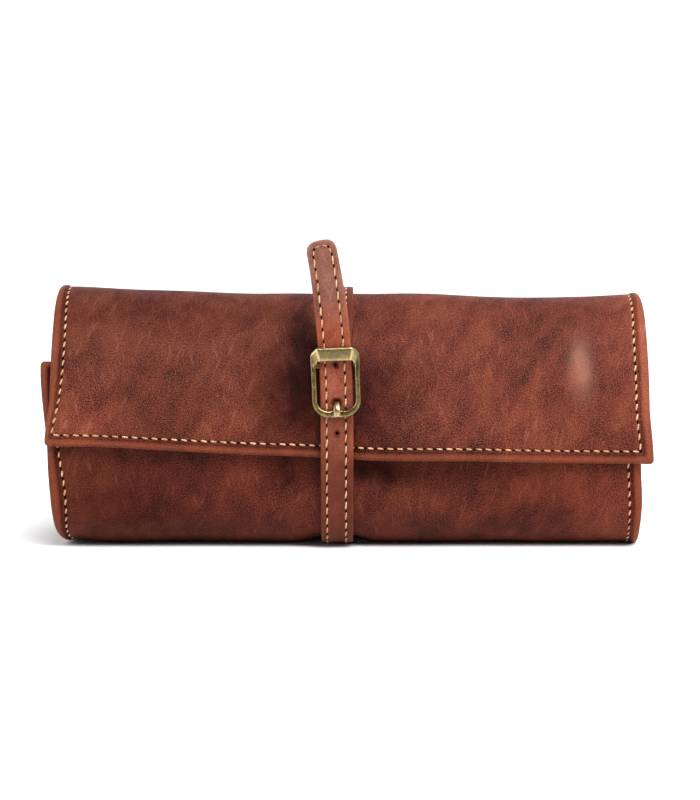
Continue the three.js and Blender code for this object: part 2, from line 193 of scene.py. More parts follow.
def sheet_point(s, x, n):
    """Points of the sheet at distance s, place x along the roll and depth n under the outer face."""
    s, x, n = np.broadcast_arrays(np.asarray(s, float), np.asarray(x, float), np.asarray(n, float))
    cut = (flap_trim(x) - x * EDGE_SLOPE) * smooth(FLAP_SKEW, 0, s)
    s = s + cut - x * INNER_SLOPE * smooth(INNER_END, SHEET_LENGTH, s)
    y, z, heading = on_path(s)
    h = np.radians(heading)
    n = n + waves(s, x)
    y = y + n * np.cos(h)
    z = z - n * np.sin(h)
    z = z + crest_lift(x) * np.clip(z / ROLL_HEIGHT, 0, None) ** 2 + strap_press(x, heading)
    z = z + 1.4 * smooth(-118, -142, x) * smooth(20, 0, z)
    # The flap stands off the roll a little to the right of the strap, where the roll gives.
    beside = smooth(-2, 12, x) * smooth(115, 30, x)
    y = y + beside * (5.5 * smooth(316, 347, s) * smooth(389, 370, s) - 3.2 * smooth(28, 0, s))
    y = y - 1.0 * smooth(22, 0, s) * smooth(-20, -60, x)
    return np.stack([x, y, z], -1)


# ---- making meshes ----


def add_mesh(name, points, faces, material, slot, normals=None, attributes=None):
    """A smooth mesh on the row frame, never below the floor; its slot argument is not used."""
    points = np.asarray(points, float).reshape(-1, 3).copy()
    points[:, 2] = np.maximum(points[:, 2], 0.02)
    mesh = bpy.data.meshes.new(name)
    mesh.from_pydata(((points + ORIGIN) * MM).tolist(), [], [list(f) for f in faces])
    mesh.materials.append(material)
    for key, values in (attributes or {}).items():
        values = np.asarray(values, np.float32)
        kind = "FLOAT_VECTOR" if values.ndim == 2 else "FLOAT"
        attribute = mesh.attributes.new(key, kind, "POINT")
        attribute.data.foreach_set("vector" if kind == "FLOAT_VECTOR" else "value", values.ravel())
    mesh.shade_smooth()
    if normals is not None:
        mesh.normals_split_custom_set_from_vertices(np.asarray(normals, float).reshape(-1, 3).tolist())
    obj = bpy.data.objects.new(name, mesh)
    scene.collection.objects.link(obj)
    return obj


def side_quads(rows, loop, joined=False):
    """Quads between rows of loop points; joined ones close into a ring."""
    i, k = np.meshgrid(np.arange(rows if joined else rows - 1), np.arange(loop), indexing="ij")
    i2, k2 = (i + 1) % rows, (k + 1) % loop
    return np.stack([i * loop + k, i * loop + k2, i2 * loop + k2, i2 * loop + k], -1).reshape(-1, 4)


def loop_faces(rows, loop):
    """Quads of a tube of rows of loop points, with both ends closed across the loop."""
    k = np.arange(loop // 2 - 1)
    first = np.stack([k, loop - 1 - k, loop - 2 - k, k + 1], -1)
    last = (rows - 1) * loop + np.stack([k, k + 1, loop - 2 - k, loop - 1 - k], -1)
    return np.concatenate([side_quads(rows, loop), first, last])


def round_angles(count):
    return 2 * np.pi * np.arange(count) / count


def loop_normals(points):
    """Normals of a tube of loops, from its neighbours along and round it."""
    along = np.gradient(points, axis=0)
    around = np.roll(points, -1, axis=1) - np.roll(points, 1, axis=1)
    normals = np.cross(around, along)
    return normals / np.maximum(np.linalg.norm(normals, axis=-1, keepdims=True), 1e-9)


def steps(stops, spacing):
    """Places from the first stop to the last, passing through every stop, at most spacing apart."""
    out = [stops[0]]
    for a, b in zip(stops[:-1], stops[1:]):
        count = max(1, math.ceil((b - a) / spacing - 1e-6))
        out += [a + (b - a) * j / count for j in range(1, count + 1)]
    return np.array(out)


# A piece of a layer spans from the middle of one slat to the middle of the next, across the hinge
# between them.
MIDDLES = [(a + b) / 2 for a, b in zip(SLAT_EDGES[:-1], SLAT_EDGES[1:])]
SPANS = [
    (0.0 if i == 0 else MIDDLES[i], SHEET_LENGTH if i == LAST_SPAN else MIDDLES[i + 1])
    for i in range(SPAN_COUNT)
]
PIECE_STOPS = [a for a, _ in SPANS] + [SHEET_LENGTH]
BEND_MARGIN = 1.5
BEND_REACH = 20
# A line along the sheet, clear of the strap, that shows where each bend starts and ends.
MIDLINE_X = 60.0


def bend_between(obj, i, place):
    """Finds where a piece's bend across hinge i would start and end, from place(s), a point of the piece's
    own line, but leaves them unused and only bakes the piece's transform into its mesh.
    """
    hinge = SLAT_EDGES[i + 1]
    low, high = MIDDLES[i], MIDDLES[i + 1]
    start = place(max(low, hinge - BEND_REACH) + BEND_MARGIN)
    end = place(min(high, hinge + BEND_REACH) - BEND_MARGIN)
    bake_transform(obj)


def rows_between(s, low, high):
    """The rows of a grid that lie between two distances, as a slice."""
    rows = np.flatnonzero((s >= low - 1e-6) & (s <= high + 1e-6))
    return slice(rows[0], rows[-1] + 1)


def cut_fields(fields, part):
    """The values of a grid's fields in some of its rows, one for each point."""
    return {key: value[part].reshape(-1, *value.shape[2:]) for key, value in fields.items()}


def layer_pieces(kind, s, points, normals, fields, material, slot, spans, depth):
    """Cuts a layer's grid of loops into hinge pieces named kind_SLAT."""
    made = []
    for i in spans:
        part = rows_between(s, *SPANS[i])
        rows, loop = points[part].shape[:2]
        obj = add_mesh(f"sheet_{kind}_{SLATS[i]}", points[part], loop_faces(rows, loop), material, slot,
                       normals[part], cut_fields(fields, part))
        bend_between(obj, i, lambda u: sheet_point(u, MIDLINE_X, depth))
        made.append(obj)
    return made


# ---- materials ----


class Nodes:
    """Short calls for a material's node tree."""

    def __init__(self, name):
        self.material = bpy.data.materials.new(name)
        self.material.use_nodes = True
        self.tree = self.material.node_tree
        self.shader = next(n for n in self.tree.nodes if n.type == "BSDF_PRINCIPLED")

    def put(self, value, socket):
        if isinstance(value, bpy.types.NodeSocket):
            self.tree.links.new(value, socket)
        elif value is not None:
            socket.default_value = value

    def new(self, kind, **settings):
        node = self.tree.nodes.new(kind)
        for key, value in settings.items():
            setattr(node, key, value)
        return node

    def attribute(self, name, output="Vector"):
        return self.new("ShaderNodeAttribute", attribute_name=name).outputs[output]

    def drawn_out(self, vector, stretch, turn=0.0, location=(0, 0, 0)):
        """Coordinates whose features are stretch times longer along Y, turned anticlockwise."""
        node = self.new("ShaderNodeMapping", vector_type="TEXTURE")
        self.put(vector, node.inputs["Vector"])
        node.inputs["Scale"].default_value = (1, stretch, 1)
        node.inputs["Rotation"].default_value = (0, 0, turn)
        node.inputs["Location"].default_value = location
        return node.outputs[0]

    def noise(self, vector, scale, detail=3.0, roughness=0.5, distortion=0.0):
        node = self.new("ShaderNodeTexNoise")
        self.put(vector, node.inputs["Vector"])
        values = {"Scale": scale, "Detail": detail, "Roughness": roughness, "Distortion": distortion}
        for key, value in values.items():
            node.inputs[key].default_value = value
        return node.outputs["Fac"]

    def cells(self, vector, scale):
        node = self.new("ShaderNodeTexVoronoi")
        self.put(vector, node.inputs["Vector"])
        node.inputs["Scale"].default_value = scale
        return node.outputs["Distance"]

    def math(self, operation, a, b=0.0):
        node = self.new("ShaderNodeMath", operation=operation)
        self.put(a, node.inputs[0])
        self.put(b, node.inputs[1])
        return node.outputs[0]

    def ramp(self, value, stops):
        node = self.new("ShaderNodeValToRGB")
        self.put(value, node.inputs[0])
        ramp = node.color_ramp
        while len(ramp.elements) < len(stops):
            ramp.elements.new(0.5)
        for element, (at, color) in zip(ramp.elements, stops):
            element.position = at
            element.color = (*color, 1)
        return node.outputs[0]

    def range(self, value, low, high, to_low, to_high):
        node = self.new("ShaderNodeMapRange")
        self.put(value, node.inputs[0])
        for index, number in enumerate((low, high, to_low, to_high), 1):
            node.inputs[index].default_value = number
        return node.outputs[0]

    def mix(self, factor, a, b, blend="MIX"):
        node = self.new("ShaderNodeMix", data_type="RGBA", blend_type=blend)
        self.put(factor, node.inputs[0])
        self.put((*a, 1) if isinstance(a, tuple) else a, node.inputs[6])
        self.put((*b, 1) if isinstance(b, tuple) else b, node.inputs[7])
        return node.outputs[2]

    def object_place(self):
        return self.new("ShaderNodeTexCoord").outputs["Object"]

    def split(self, vector):
        node = self.new("ShaderNodeSeparateXYZ")
        self.put(vector, node.inputs[0])
        return node.outputs

    def weighed(self, *shares):
        """Sum of values, each times its share."""
        total = 0.0
        for value, share in shares:
            total = self.math("ADD", self.math("MULTIPLY", value, share), total)
        return total

    def spot(self, place, at, half, power, noise, ragged):
        """1 at a place, falling off past half its size, with its outline made ragged by a noise."""
        away = self.math("MULTIPLY", self.math("SUBTRACT", noise, 0.5), ragged)
        for axis, middle, size in zip("XY", at, half):
            across = self.math("MULTIPLY", self.math("SUBTRACT", place[axis], middle), 1 / size)
            away = self.math("ADD", self.math("POWER", self.math("ABSOLUTE", across), power), away)
        return self.math("EXPONENT", self.math("MULTIPLY", self.math("MAXIMUM", away, 0.0), -1.0))

    def grey(self, value):
        node = self.new("ShaderNodeCombineColor")
        for socket in node.inputs:
            self.put(value, socket)
        return node.outputs[0]

    def bump(self, height, strength, distance, normal=None):
        node = self.new("ShaderNodeBump")
        node.inputs["Strength"].default_value = strength
        node.inputs["Distance"].default_value = distance
        self.put(height, node.inputs["Height"])
        self.put(normal, node.inputs["Normal"])
        return node.outputs[0]

    def set(self, **values):
        for key, value in values.items():
            self.put(value, self.shader.inputs[key.replace("_", " ")])
        return self.material


# Darker and paler places on the cover: middle x and distance along the sheet, half width and half
# height (metres), sharpness, tint. They are painted shadow round the buckle and beside the strap (partly
# pressed leather) and under the flap's edge by the strap, painted shade along the crest, painted light low
# on the front and just above the flap's bottom seam, a painted highlight down the flap's right edge, and
# places darker low on the left and paler at the flap's lower left corner and at the roll's lower right end.
PAINTED_SHADE_AND_PATCHES = (
    (-0.009, 0.027, 0.034, 0.025, 4.0, (0.38, 0.22, 0.20)),
    (-0.031, 0.037, 0.012, 0.020, 2.0, (0.50, 0.34, 0.32)),
    (-0.023, 0.055, 0.007, 0.034, 2.0, (0.42, 0.38, 0.40)),
    (-0.029, 0.341, 0.011, 0.010, 2.0, (0.42, 0.28, 0.26)),
    (-0.100, 0.078, 0.062, 0.024, 2.0, (0.66, 0.56, 0.56)),
    (-0.085, 0.010, 0.060, 0.013, 2.0, (1.16, 1.10, 1.06)),
    (-0.105, 0.318, 0.035, 0.022, 2.0, (0.66, 0.54, 0.52)),
    (0.005, 0.342, 0.022, 0.009, 3.0, (0.36, 0.25, 0.22)),
    (-0.127, 0.016, 0.015, 0.016, 2.0, (1.36, 1.34, 1.34)),
    (0.131, 0.333, 0.022, 0.034, 2.0, (1.42, 1.56, 1.56)),
    (-0.046, 0.330, 0.032, 0.022, 2.0, (1.32, 1.30, 1.28)),
    (0.048, 0.330, 0.032, 0.022, 2.0, (1.16, 1.28, 1.28)),
    (0.1405, 0.050, 0.0035, 0.042, 4.0, (1.50, 2.00, 2.20)),
    (-0.03, 0.092, 0.140, 0.020, 2.0, (0.90, 0.74, 0.72)),
)


# How far the burnished strip outside a seam takes on its own lighter tone, which on the cover's puffed strip
# and the strap's rounded edges is partly a painted highlight.
EDGE_SHARE = 0.45


def leather(name, tones, grain=1.0, streaks=1.0, roughness=(0.4, 0.56), shaded=False, along=None,
            edge_tone=1.75, shine=0.06):
    """Vegetable-tanned leather, mottled between three tones, with streaks, grain and creases.
    It reads the sheet attribute, so its pattern bends with the leather. The edge attribute, a lighter tone
    that is partly a painted highlight, is strongest on the burnished strip outside a seam; a second attribute
    is painted shade in and beside a seam."""
    dark, middle, light = tones
    m = Nodes(name)
    flat = m.attribute("sheet")
    clouds = m.noise(m.drawn_out(flat, 1.2, -0.4), 17, 4, 0.55, 0.5)
    diagonal = m.noise(m.drawn_out(flat, 2.6, -0.6), 90, 5, 0.6, 0.5)
    patches = m.noise(m.drawn_out(flat, 1.3, -0.3, (0.3, 0.1, 0)), 110, 6, 0.62, 0.5)
    fine = m.noise(flat, 800, 4, 0.75)
    shares = (clouds, 0.44), (diagonal, 0.30 * streaks), (patches, 0.28), (fine, 0.22)
    tone = m.weighed(*shares)
    low = 0.5 * sum(share for _, share in shares)
    between = tuple(0.5 * (a + b) for a, b in zip(middle, light))
    color = m.ramp(m.range(tone, low - 0.125, low + 0.125, 0, 1), [
        (0.05, dark), (0.44, middle), (0.66, between), (0.97, light),
    ])
    place = m.split(flat)
    # The grain: fine dark specks, fainter to the right, and pale flecks that are painted glints of light.
    grainy = m.range(place["X"], 0.0, 0.11, 1.0, 0.42) if shaded else 1.0
    grains = m.noise(flat, 1750, 2, 0.8)
    specks = m.grey(m.range(grains, 0.36, 0.56, max(0.0, 1 - 0.72 * grain), 1.1))
    color = m.mix(grainy, color, specks, "MULTIPLY")
    # Painted highlight: pale glints on the grain.
    color = m.mix(m.range(grains, 0.5, 0.64, 0.0, 0.55 * grain), color,
                  tuple(1.5 * c + lift for c, lift in zip(light, (0.050, 0.040, 0.036))))
    # Fine pale scuffs and lines.
    for turn, offset, scale in ((-0.3, 0.7, 420), (0.22, 0.25, 520)):
        pale = m.noise(m.drawn_out(flat, 7.0, turn, (offset, 0.2, 0)), scale, 3, 0.6)
        lines = m.range(pale, 0.59, 0.74, 0.0, 0.5 * streaks)
        scuffed = m.math("MULTIPLY", lines, m.range(clouds, 0.36, 0.58, 0.25, 1.1))
        color = m.mix(scuffed, color, tuple(min(1.0, 1.5 * c + 0.032) for c in light))
    if shaded:
        # Painted shade: the lower back, the underside and the front below the flap are darker, and the end
        # tucked inside darker still.
        low_painted_shade = m.math("MULTIPLY", m.range(place["Y"], 0.225, 0.275, 0, 0.75),
                       m.range(place["Y"], 0.345, 0.36, 1, 0.75))
        color = m.mix(low_painted_shade, color, (0.66, 0.50, 0.46), "MULTIPLY")
        # Painted shadow, shade and light, and a few patches, one spot each.
        for x, y, half_x, half_y, power, tint in PAINTED_SHADE_AND_PATCHES:
            there = m.spot(place, (x, y), (half_x, half_y), power, patches, 1.6)
            color = m.mix(there, color, tint, "MULTIPLY")
        # A painted highlight: a pale glossy streak by the cover's right end.
        there = m.spot(place, (0.111, 0.044), (0.005, 0.014), 2.0, diagonal, 2.2)
        color = m.mix(m.math("MULTIPLY", there, 0.42), color, (0.33, 0.160, 0.115))
        # The cover is a shade lighter toward its right end.
        to_right = m.range(place["X"], -0.06, 0.12, 0.0, 1.0)
        color = m.mix(to_right, color, (1.18, 1.13, 1.1), "MULTIPLY")
    # Lighter burnished edges, partly a painted highlight.
    edge = m.attribute("edge", "Fac")
    painted_groove_shade = m.attribute("painted_groove_shade", "Fac")
    color = m.mix(m.math("MULTIPLY", edge, EDGE_SHARE), color, tuple(edge_tone * c for c in light))
    if along:
        # Painted shade low on the strap and a painted sheen near its tip: (distance in metres, tint).
        start, end = along[0][0], along[-1][0]
        tint = m.ramp(m.range(place["Y"], start, end, 0, 1),
                      [((at - start) / (end - start), color_there) for at, color_there in along])
        color = m.mix(1.0, color, tint, "MULTIPLY")
    # Painted shade in the seams' grooves and just outside them, along the strap's stitch lines and round its
    # edge.
    color = m.mix(painted_groove_shade, color, (0.50, 0.26, 0.08), "MULTIPLY")
    pores = m.cells(flat, 1250)
    creases = m.noise(m.drawn_out(flat, 4.5, -0.3, (0.1, 0.5, 0)), 170, 4, 0.6, 0.8)
    ridges = m.math("ABSOLUTE", m.math("SUBTRACT", creases, 0.5))
    wrinkles = m.range(ridges, 0.0, 0.04, 0.0, 1.0)
    normal = m.bump(wrinkles, 0.12 * streaks, 0.0004)
    normal = m.bump(patches, 0.3, 0.0012, normal)
    normal = m.bump(pores, 0.55 * grain, 0.0004, normal)
    normal = m.bump(grains, 0.6 * grain, 0.0004, normal)
    rough = m.range(m.math("ADD", patches, fine), 0.7, 1.3, roughness[1], roughness[0])
    return m.set(Base_Color=color, Roughness=rough, Normal=normal, Specular_IOR_Level=shine)


def suede(name, dark, light):
    """The lining's matt leather."""
    m = Nodes(name)
    flat = m.attribute("sheet")
    nap = m.noise(flat, 1400, 4, 0.75)
    cloudy = m.noise(flat, 45, 4, 0.6, 0.5)
    tone = m.weighed((nap, 0.45), (cloudy, 0.55))
    color = m.ramp(tone, [(0.36, dark), (0.64, light)])
    normal = m.bump(nap, 0.5, 0.0003, m.bump(cloudy, 0.2, 0.001))
    return m.set(Base_Color=color, Roughness=0.82, Normal=normal, Specular_IOR_Level=0.3,
                 Sheen_Weight=0.25, Sheen_Roughness=0.5)


def brass_finish():
    """Antique brass: an olive patina that is worn through on the raised places."""
    m = Nodes("antique_brass")
    place = m.object_place()
    blotch = m.noise(place, 260, 5, 0.62, 0.5)
    speck = m.noise(place, 1500, 3, 0.7)
    pits = m.cells(place, 900)
    tone = m.weighed((blotch, 0.65), (speck, 0.35))
    color = m.ramp(tone, [
        (0.36, (0.030, 0.022, 0.009)), (0.48, (0.115, 0.084, 0.033)), (0.62, (0.28, 0.21, 0.085)),
    ])
    worn = m.attribute("edge", "Fac")
    color = m.mix(m.math("MULTIPLY", worn, 0.75), color, (0.66, 0.51, 0.26))
    normal = m.bump(pits, 0.12, 0.0002, m.bump(blotch, 0.2, 0.0003))
    rough = m.range(tone, 0.35, 0.65, 0.38, 0.22)
    return m.set(Base_Color=color, Metallic=1.0, Roughness=rough, Normal=normal)


def thread_finish():
    m = Nodes("waxed_thread")
    place = m.object_place()
    fibre = m.noise(place, 2600, 3, 0.7)
    shade = m.noise(place, 130, 3, 0.6)
    tone = m.weighed((fibre, 0.6), (shade, 0.4))
    color = m.ramp(tone, [
        (0.36, (0.20, 0.080, 0.030)), (0.5, (0.50, 0.235, 0.105)), (0.62, (0.88, 0.52, 0.31)),
    ])
    return m.set(Base_Color=color, Roughness=0.55, Normal=m.bump(fibre, 0.5, 0.0002), Sheen_Weight=0.2)


# Near black: painted shade standing in for the depth of a pricked hole.
def stitch_hole_shade_finish():
    m = Nodes("stitch_hole_shade")
    place = m.object_place()
    color = m.ramp(m.noise(place, 900, 2), [(0.4, (0.003, 0.0012, 0.0008)), (0.6, (0.012, 0.0045, 0.002))])
    return m.set(Base_Color=color, Roughness=0.9, Specular_IOR_Level=0.02)


COVER_TONES = ((0.027, 0.0038, 0.0020), (0.084, 0.0146, 0.0088), (0.150, 0.0365, 0.0162))
STRAP_TONES = ((0.085, 0.019, 0.0095), (0.16, 0.038, 0.018), (0.25, 0.068, 0.034))
cover_leather = leather("cover_leather", COVER_TONES, shaded=True)
pocket_leather = leather("pocket_leather", ((0.10, 0.035, 0.018), (0.18, 0.066, 0.034), (0.26, 0.10, 0.052)),
                         grain=0.7, roughness=(0.5, 0.62))
lining_leather = suede("lining_leather", (0.15, 0.07, 0.035), (0.30, 0.155, 0.085))
brass = brass_finish()
thread = thread_finish()
stitch_hole_shade = stitch_hole_shade_finish()

# ---- the sheet: cover turned over at the edges, lining and pocket panel ----
TURNED = 3.3
EDGE_RADIUS = 1.5
SEAM_INSET = 5.5
FLAP_INSET = 5.9
EDGE_PLACES = [EDGE_RADIUS * (1 - math.sin(math.radians(a))) for a in (80, 60, 40, 20, 0)]
NEAR_EDGE = EDGE_PLACES + [2.0, 2.7, 3.5, 4.2, 4.7, 5.1, 5.5, 5.9, 6.25, 6.8, 7.6, 8.8, 10.5, 12.5]


def left_inset(s):
    """The left seam runs out toward the edge at the flap's corner."""
    fuller = 0.9 * np.exp(-(((s - 55) / 22) ** 2)) + 2.0 * smooth(300, 325, s) * smooth(352, 330, s)
    return SEAM_INSET - 2.2 * smooth(45, 4, s) + fuller


def right_inset(s):
    return SEAM_INSET + 1.15 * smooth(92, 55, s) - 0.4 * smooth(20, 0, s) + 0.9 * smooth(300, 330, s)


def edge_distance(s, x):
    """Distance of places on the sheet from its nearest edge, with every seam at SEAM_INSET."""
    across = np.minimum((x - left_edge(s)) / left_inset(s), (right_edge(s) - x) / right_inset(s)) * SEAM_INSET
    return np.minimum(across, np.minimum(s * SEAM_INSET / FLAP_INSET, SHEET_LENGTH - s))


def edge_curve(d):
    t = 1 - np.clip(d, 0, EDGE_RADIUS) / EDGE_RADIUS
    return TURNED / 2 * (1 - np.sqrt(1 - t**2))


def groove_at(d):
    return np.exp(-(((d - SEAM_INSET + 0.3) / 0.65) ** 2))


def cover_outside(s, x):
    """Depth of the cover's outer face: puffed outside the seam, sunk along it."""
    d = edge_distance(s, x)
    puff = -0.75 * np.sin(np.pi * np.clip(d / SEAM_INSET, 0, 1)) - 0.08 * np.exp(-(((d - 8.6) / 1.9) ** 2))
    free = 1 - beside_strap(x, 6)
    return edge_curve(d) + puff * free + 0.38 * groove_at(d)


def cover_inside(s, x):
    d = edge_distance(s, x)
    return np.where(d < 6.1, TURNED, COVER_THICKNESS + 0.05) - edge_curve(d)


def columns(s, left, right, near, spacing):
    """x of a layer's grid: near its two edges at the same distances, evenly between."""
    near = np.asarray(near)
    between = max(2, math.ceil((SHEET_WIDTH - 2 * near[-1]) / spacing))
    t = np.linspace(0, 1, between + 1)[1:-1]
    low, high = left(s)[:, None], right(s)[:, None]
    middle = (low + near[-1]) * (1 - t) + (high - near[-1]) * t
    return np.concatenate([low + near, middle, high - near[::-1]], axis=1)


def grid_of(s, x, outside, inside):
    """Loops round the layer's section, out along one face and back along the other."""
    rows = s[:, None]
    points = np.concatenate(
        [sheet_point(rows, x, outside), sheet_point(rows, x, inside)[:, ::-1]], axis=1)
    flat = np.stack([x, np.broadcast_to(rows, x.shape), 0 * x], -1) * MM
    flat_in = flat[:, ::-1] + [0, 0, 0.05]
    return points, np.concatenate([flat, flat_in], axis=1)


END_ROWS = [d for d in NEAR_EDGE if d > 0]
stops = sorted(set(PIECE_STOPS[1:-1] + END_ROWS + [SHEET_LENGTH - d for d in END_ROWS]))
cover_s = steps(stops, 1.7)
cover_x = columns(cover_s, left_edge, right_edge, NEAR_EDGE, 1.9)
rows = cover_s[:, None]
outer_n, inner_n = cover_outside(rows, cover_x), cover_inside(rows, cover_x)
points, flat = grid_of(cover_s, cover_x, outer_n, inner_n)
d = edge_distance(rows, cover_x)
# The strip outside the seam is lighter, most on its rounded crown: its own tone and a painted highlight.
strip = smooth(SEAM_INSET - 1.5, SEAM_INSET - 2.6, d) * (0.5 + 0.5 * np.exp(-(((d - 1.9) / 1.1) ** 2)))
# Painted shade: in the seam's groove, and a painted shadow band just outside the seam.
painted_seam_shade = np.maximum(groove_at(d) * 0.5, 0.85 * np.exp(-(((d - SEAM_INSET + 1.4) / 0.8) ** 2)))
fields = {
    "sheet": flat,
    "edge": np.concatenate([strip, strip[:, ::-1]], axis=1),
    "painted_groove_shade": np.concatenate([painted_seam_shade, 0 * d], axis=1),
}
covers = layer_pieces("cover", cover_s, points, loop_normals(points), fields,
                      cover_leather, "cover_leather", range(SPAN_COUNT), 0.0)

# The lining: it starts inside the seam, and its faces lie at these depths.
LINING_FROM = 6.4
LINING_OUTER, LINING_INNER = 2.0, 2.95
LINING_EDGE = [LINING_FROM + d for d in (0.05, 0.3, 0.8, 1.8, 3.6, 6.6)]
lining_stops = sorted(set(PIECE_STOPS[1:-1] + LINING_EDGE + [SHEET_LENGTH - d for d in LINING_EDGE]))
lining_s = steps(lining_stops, 2.6)
lining_x = columns(lining_s, left_edge, right_edge, LINING_EDGE, 3.4)
rows = lining_s[:, None]
d = edge_distance(rows, lining_x) - LINING_FROM
tuck = 0.35 * (1 - np.clip(d / 0.8, 0, 1)) ** 2
points, flat = grid_of(lining_s, lining_x, LINING_OUTER + 0 * lining_x, LINING_INNER - tuck)
linings = layer_pieces("lining", lining_s, points, loop_normals(points), {"sheet": flat},
                       lining_leather, "lining_leather", range(SPAN_COUNT), 2.5)

# The pocket panel: channels along the roll for the brushes, open to the right.
CHANNELS = 9
CHANNEL_PITCH = (SHEET_LENGTH - POCKET_INSET - POCKET_FROM) / CHANNELS
POCKET_THICKNESS = 1.0
POCKET_ON_LINING = 3.06
POCKET_NEAR = [0.0, 0.12, 0.4, 1.2, 2.4, 3.8, 5.2, 8, 12]
POCKET_MOUTH = [6, 3.4, 2.6, 1.8, 0.8, 0.3, 0.1, 0.0]


def pocket_left(s):
    return left_edge(s) + POCKET_INSET


def pocket_right(s):
    return left_edge(s) + POCKET_INSET + POCKET_DEPTH


def pocket_face(s, x):
    """Depth of the panel's hidden face: down on the lining at the channel seams, fuller between."""
    in_channel = np.abs(np.sin(np.pi * (s - POCKET_FROM) / CHANNEL_PITCH)) ** 0.7
    full = smooth(0, 12, x - pocket_left(s))
    mouth = smooth(0, 10, pocket_right(s) - x)
    on_strip = np.maximum(smooth(7.6, 6.2, x - left_edge(s)), smooth(7.6, 6.2, SHEET_LENGTH - s))
    raised = POCKET_ON_LINING + in_channel * full * (0.55 - 0.15 * mouth)
    return np.maximum(raised, (TURNED + 0.1) * on_strip)


pocket_ends = [POCKET_FROM, POCKET_FROM + 0.12, POCKET_FROM + 0.4]
pocket_ends += [SHEET_LENGTH - POCKET_INSET - d for d in (0, 0.12, 0.4, 3.8, 5.2)]
pocket_stops = sorted(set(
    [m for m in PIECE_STOPS if POCKET_FROM < m < SHEET_LENGTH] + pocket_ends
    + [POCKET_FROM + k * CHANNEL_PITCH for k in range(1, CHANNELS)]))
pocket_s = steps(pocket_stops, 2.4)
t = np.linspace(0, 1, 46)[1:-1]
low, high = pocket_left(pocket_s)[:, None], pocket_right(pocket_s)[:, None]
between = (low + POCKET_NEAR[-1]) * (1 - t) + (high - POCKET_MOUTH[0]) * t
pocket_x = np.concatenate([low + POCKET_NEAR, between, high - POCKET_MOUTH], axis=1)
rows = pocket_s[:, None]
d = np.minimum(np.minimum(pocket_x - low, high - pocket_x),
               np.minimum(rows - POCKET_FROM, SHEET_LENGTH - POCKET_INSET - rows))
rim = 0.32 * (1 - np.clip(d / 0.4, 0, 1)) ** 2
hem = 0.25 * smooth(0, 1.5, high - pocket_x) * smooth(4.4, 3.0, high - pocket_x)
under = pocket_face(rows, pocket_x)
points, flat = grid_of(pocket_s, pocket_x, under + rim, under + POCKET_THICKNESS - rim + hem)
burnished = smooth(1.2, 0.2, d)
fields = {"sheet": flat, "edge": np.concatenate([burnished, burnished[:, ::-1]], axis=1)}
pocket_spans = [i for i in range(SPAN_COUNT) if SPANS[i][1] > POCKET_FROM]
pockets = layer_pieces("pocket", pocket_s, points, loop_normals(points), fields,
                       pocket_leather, "pocket_leather", pocket_spans, 3.6)

# ---- stitches ----
THREAD = 0.4
RINGS = np.array([0.0, 0.05, 0.14, 0.3, 0.5, 0.7, 0.86, 0.95, 1.0])
RING_LIFT = np.array([-0.5, -0.1, 0.16, 0.26, 0.3, 0.26, 0.16, -0.1, -0.5])
RING_WIDTH = np.array([0.4, 0.62, 0.82, 1.0, 1.08, 1.0, 0.82, 0.62, 0.4])
SIDES = 8
# A pricked hole's half length and half width, and its turn from straight across the seam.
HOLE = (1.4, 1.05)
HOLE_TURN = 0.5
HOLE_SIDES = 10


def unit(v):
    return v / np.maximum(np.linalg.norm(v, axis=-1, keepdims=True), 1e-9)


def run_of_holes(points, pitch):
    """Evenly spaced places along a line of points, as fractional indices."""
    length = np.concatenate([[0], np.cumsum(np.linalg.norm(np.diff(points, axis=0), axis=1))])
    count = max(1, round(length[-1] / pitch))
    return np.interp(np.linspace(0, length[-1], count + 1), length, np.arange(len(points)))


def at_index(values, index):
    values = np.asarray(values, float)
    if values.ndim == 1:
        return np.interp(index, np.arange(len(values)), values)
    return np.stack([np.interp(index, np.arange(len(values)), v) for v in values.T], -1)


def threads(starts, ends, normals, slant, seed, thickness):
    """Thread lying between pairs of holes, two strands twisted together."""
    jitter = np.random.default_rng(seed)
    along = ends - starts
    across = unit(np.cross(along, normals))
    count = len(starts)
    lean = slant + jitter.uniform(-0.07, 0.07, (count, 1))
    shift = across * lean
    a = starts - shift + unit(along) * 0.75
    b = ends + shift - unit(along) * 0.75
    along = b - a
    across = unit(np.cross(along, normals))
    size = thickness * jitter.uniform(0.9, 1.1, (count, 1, 1, 1))
    angle = round_angles(SIDES)
    twist = 2 * np.pi * 1.3 * RINGS + jitter.uniform(0, 3, (count, 1))
    lobes = 1 + 0.16 * np.cos(2 * (angle[None, None] - twist[..., None]))
    centre = a[:, None] + along[:, None] * RINGS[:, None] + normals[:, None] * RING_LIFT[:, None]
    radius = (size[..., 0] * RING_WIDTH[:, None])[..., None] * lobes[..., None]
    level = across[:, None, None] * np.cos(angle)[:, None]
    raised = normals[:, None, None] * (0.8 * np.sin(angle))[:, None]
    points = centre[:, :, None] + (level + raised) * radius
    per = len(RINGS) * SIDES
    quads = side_quads(len(RINGS), SIDES)
    faces = [list(q + per * j) for j in range(count) for q in quads]
    for j in range(count):
        faces.append([per * j + k for k in range(SIDES)][::-1])
        faces.append([per * (j + 1) - SIDES + k for k in range(SIDES)])
    return points.reshape(-1, 3), faces


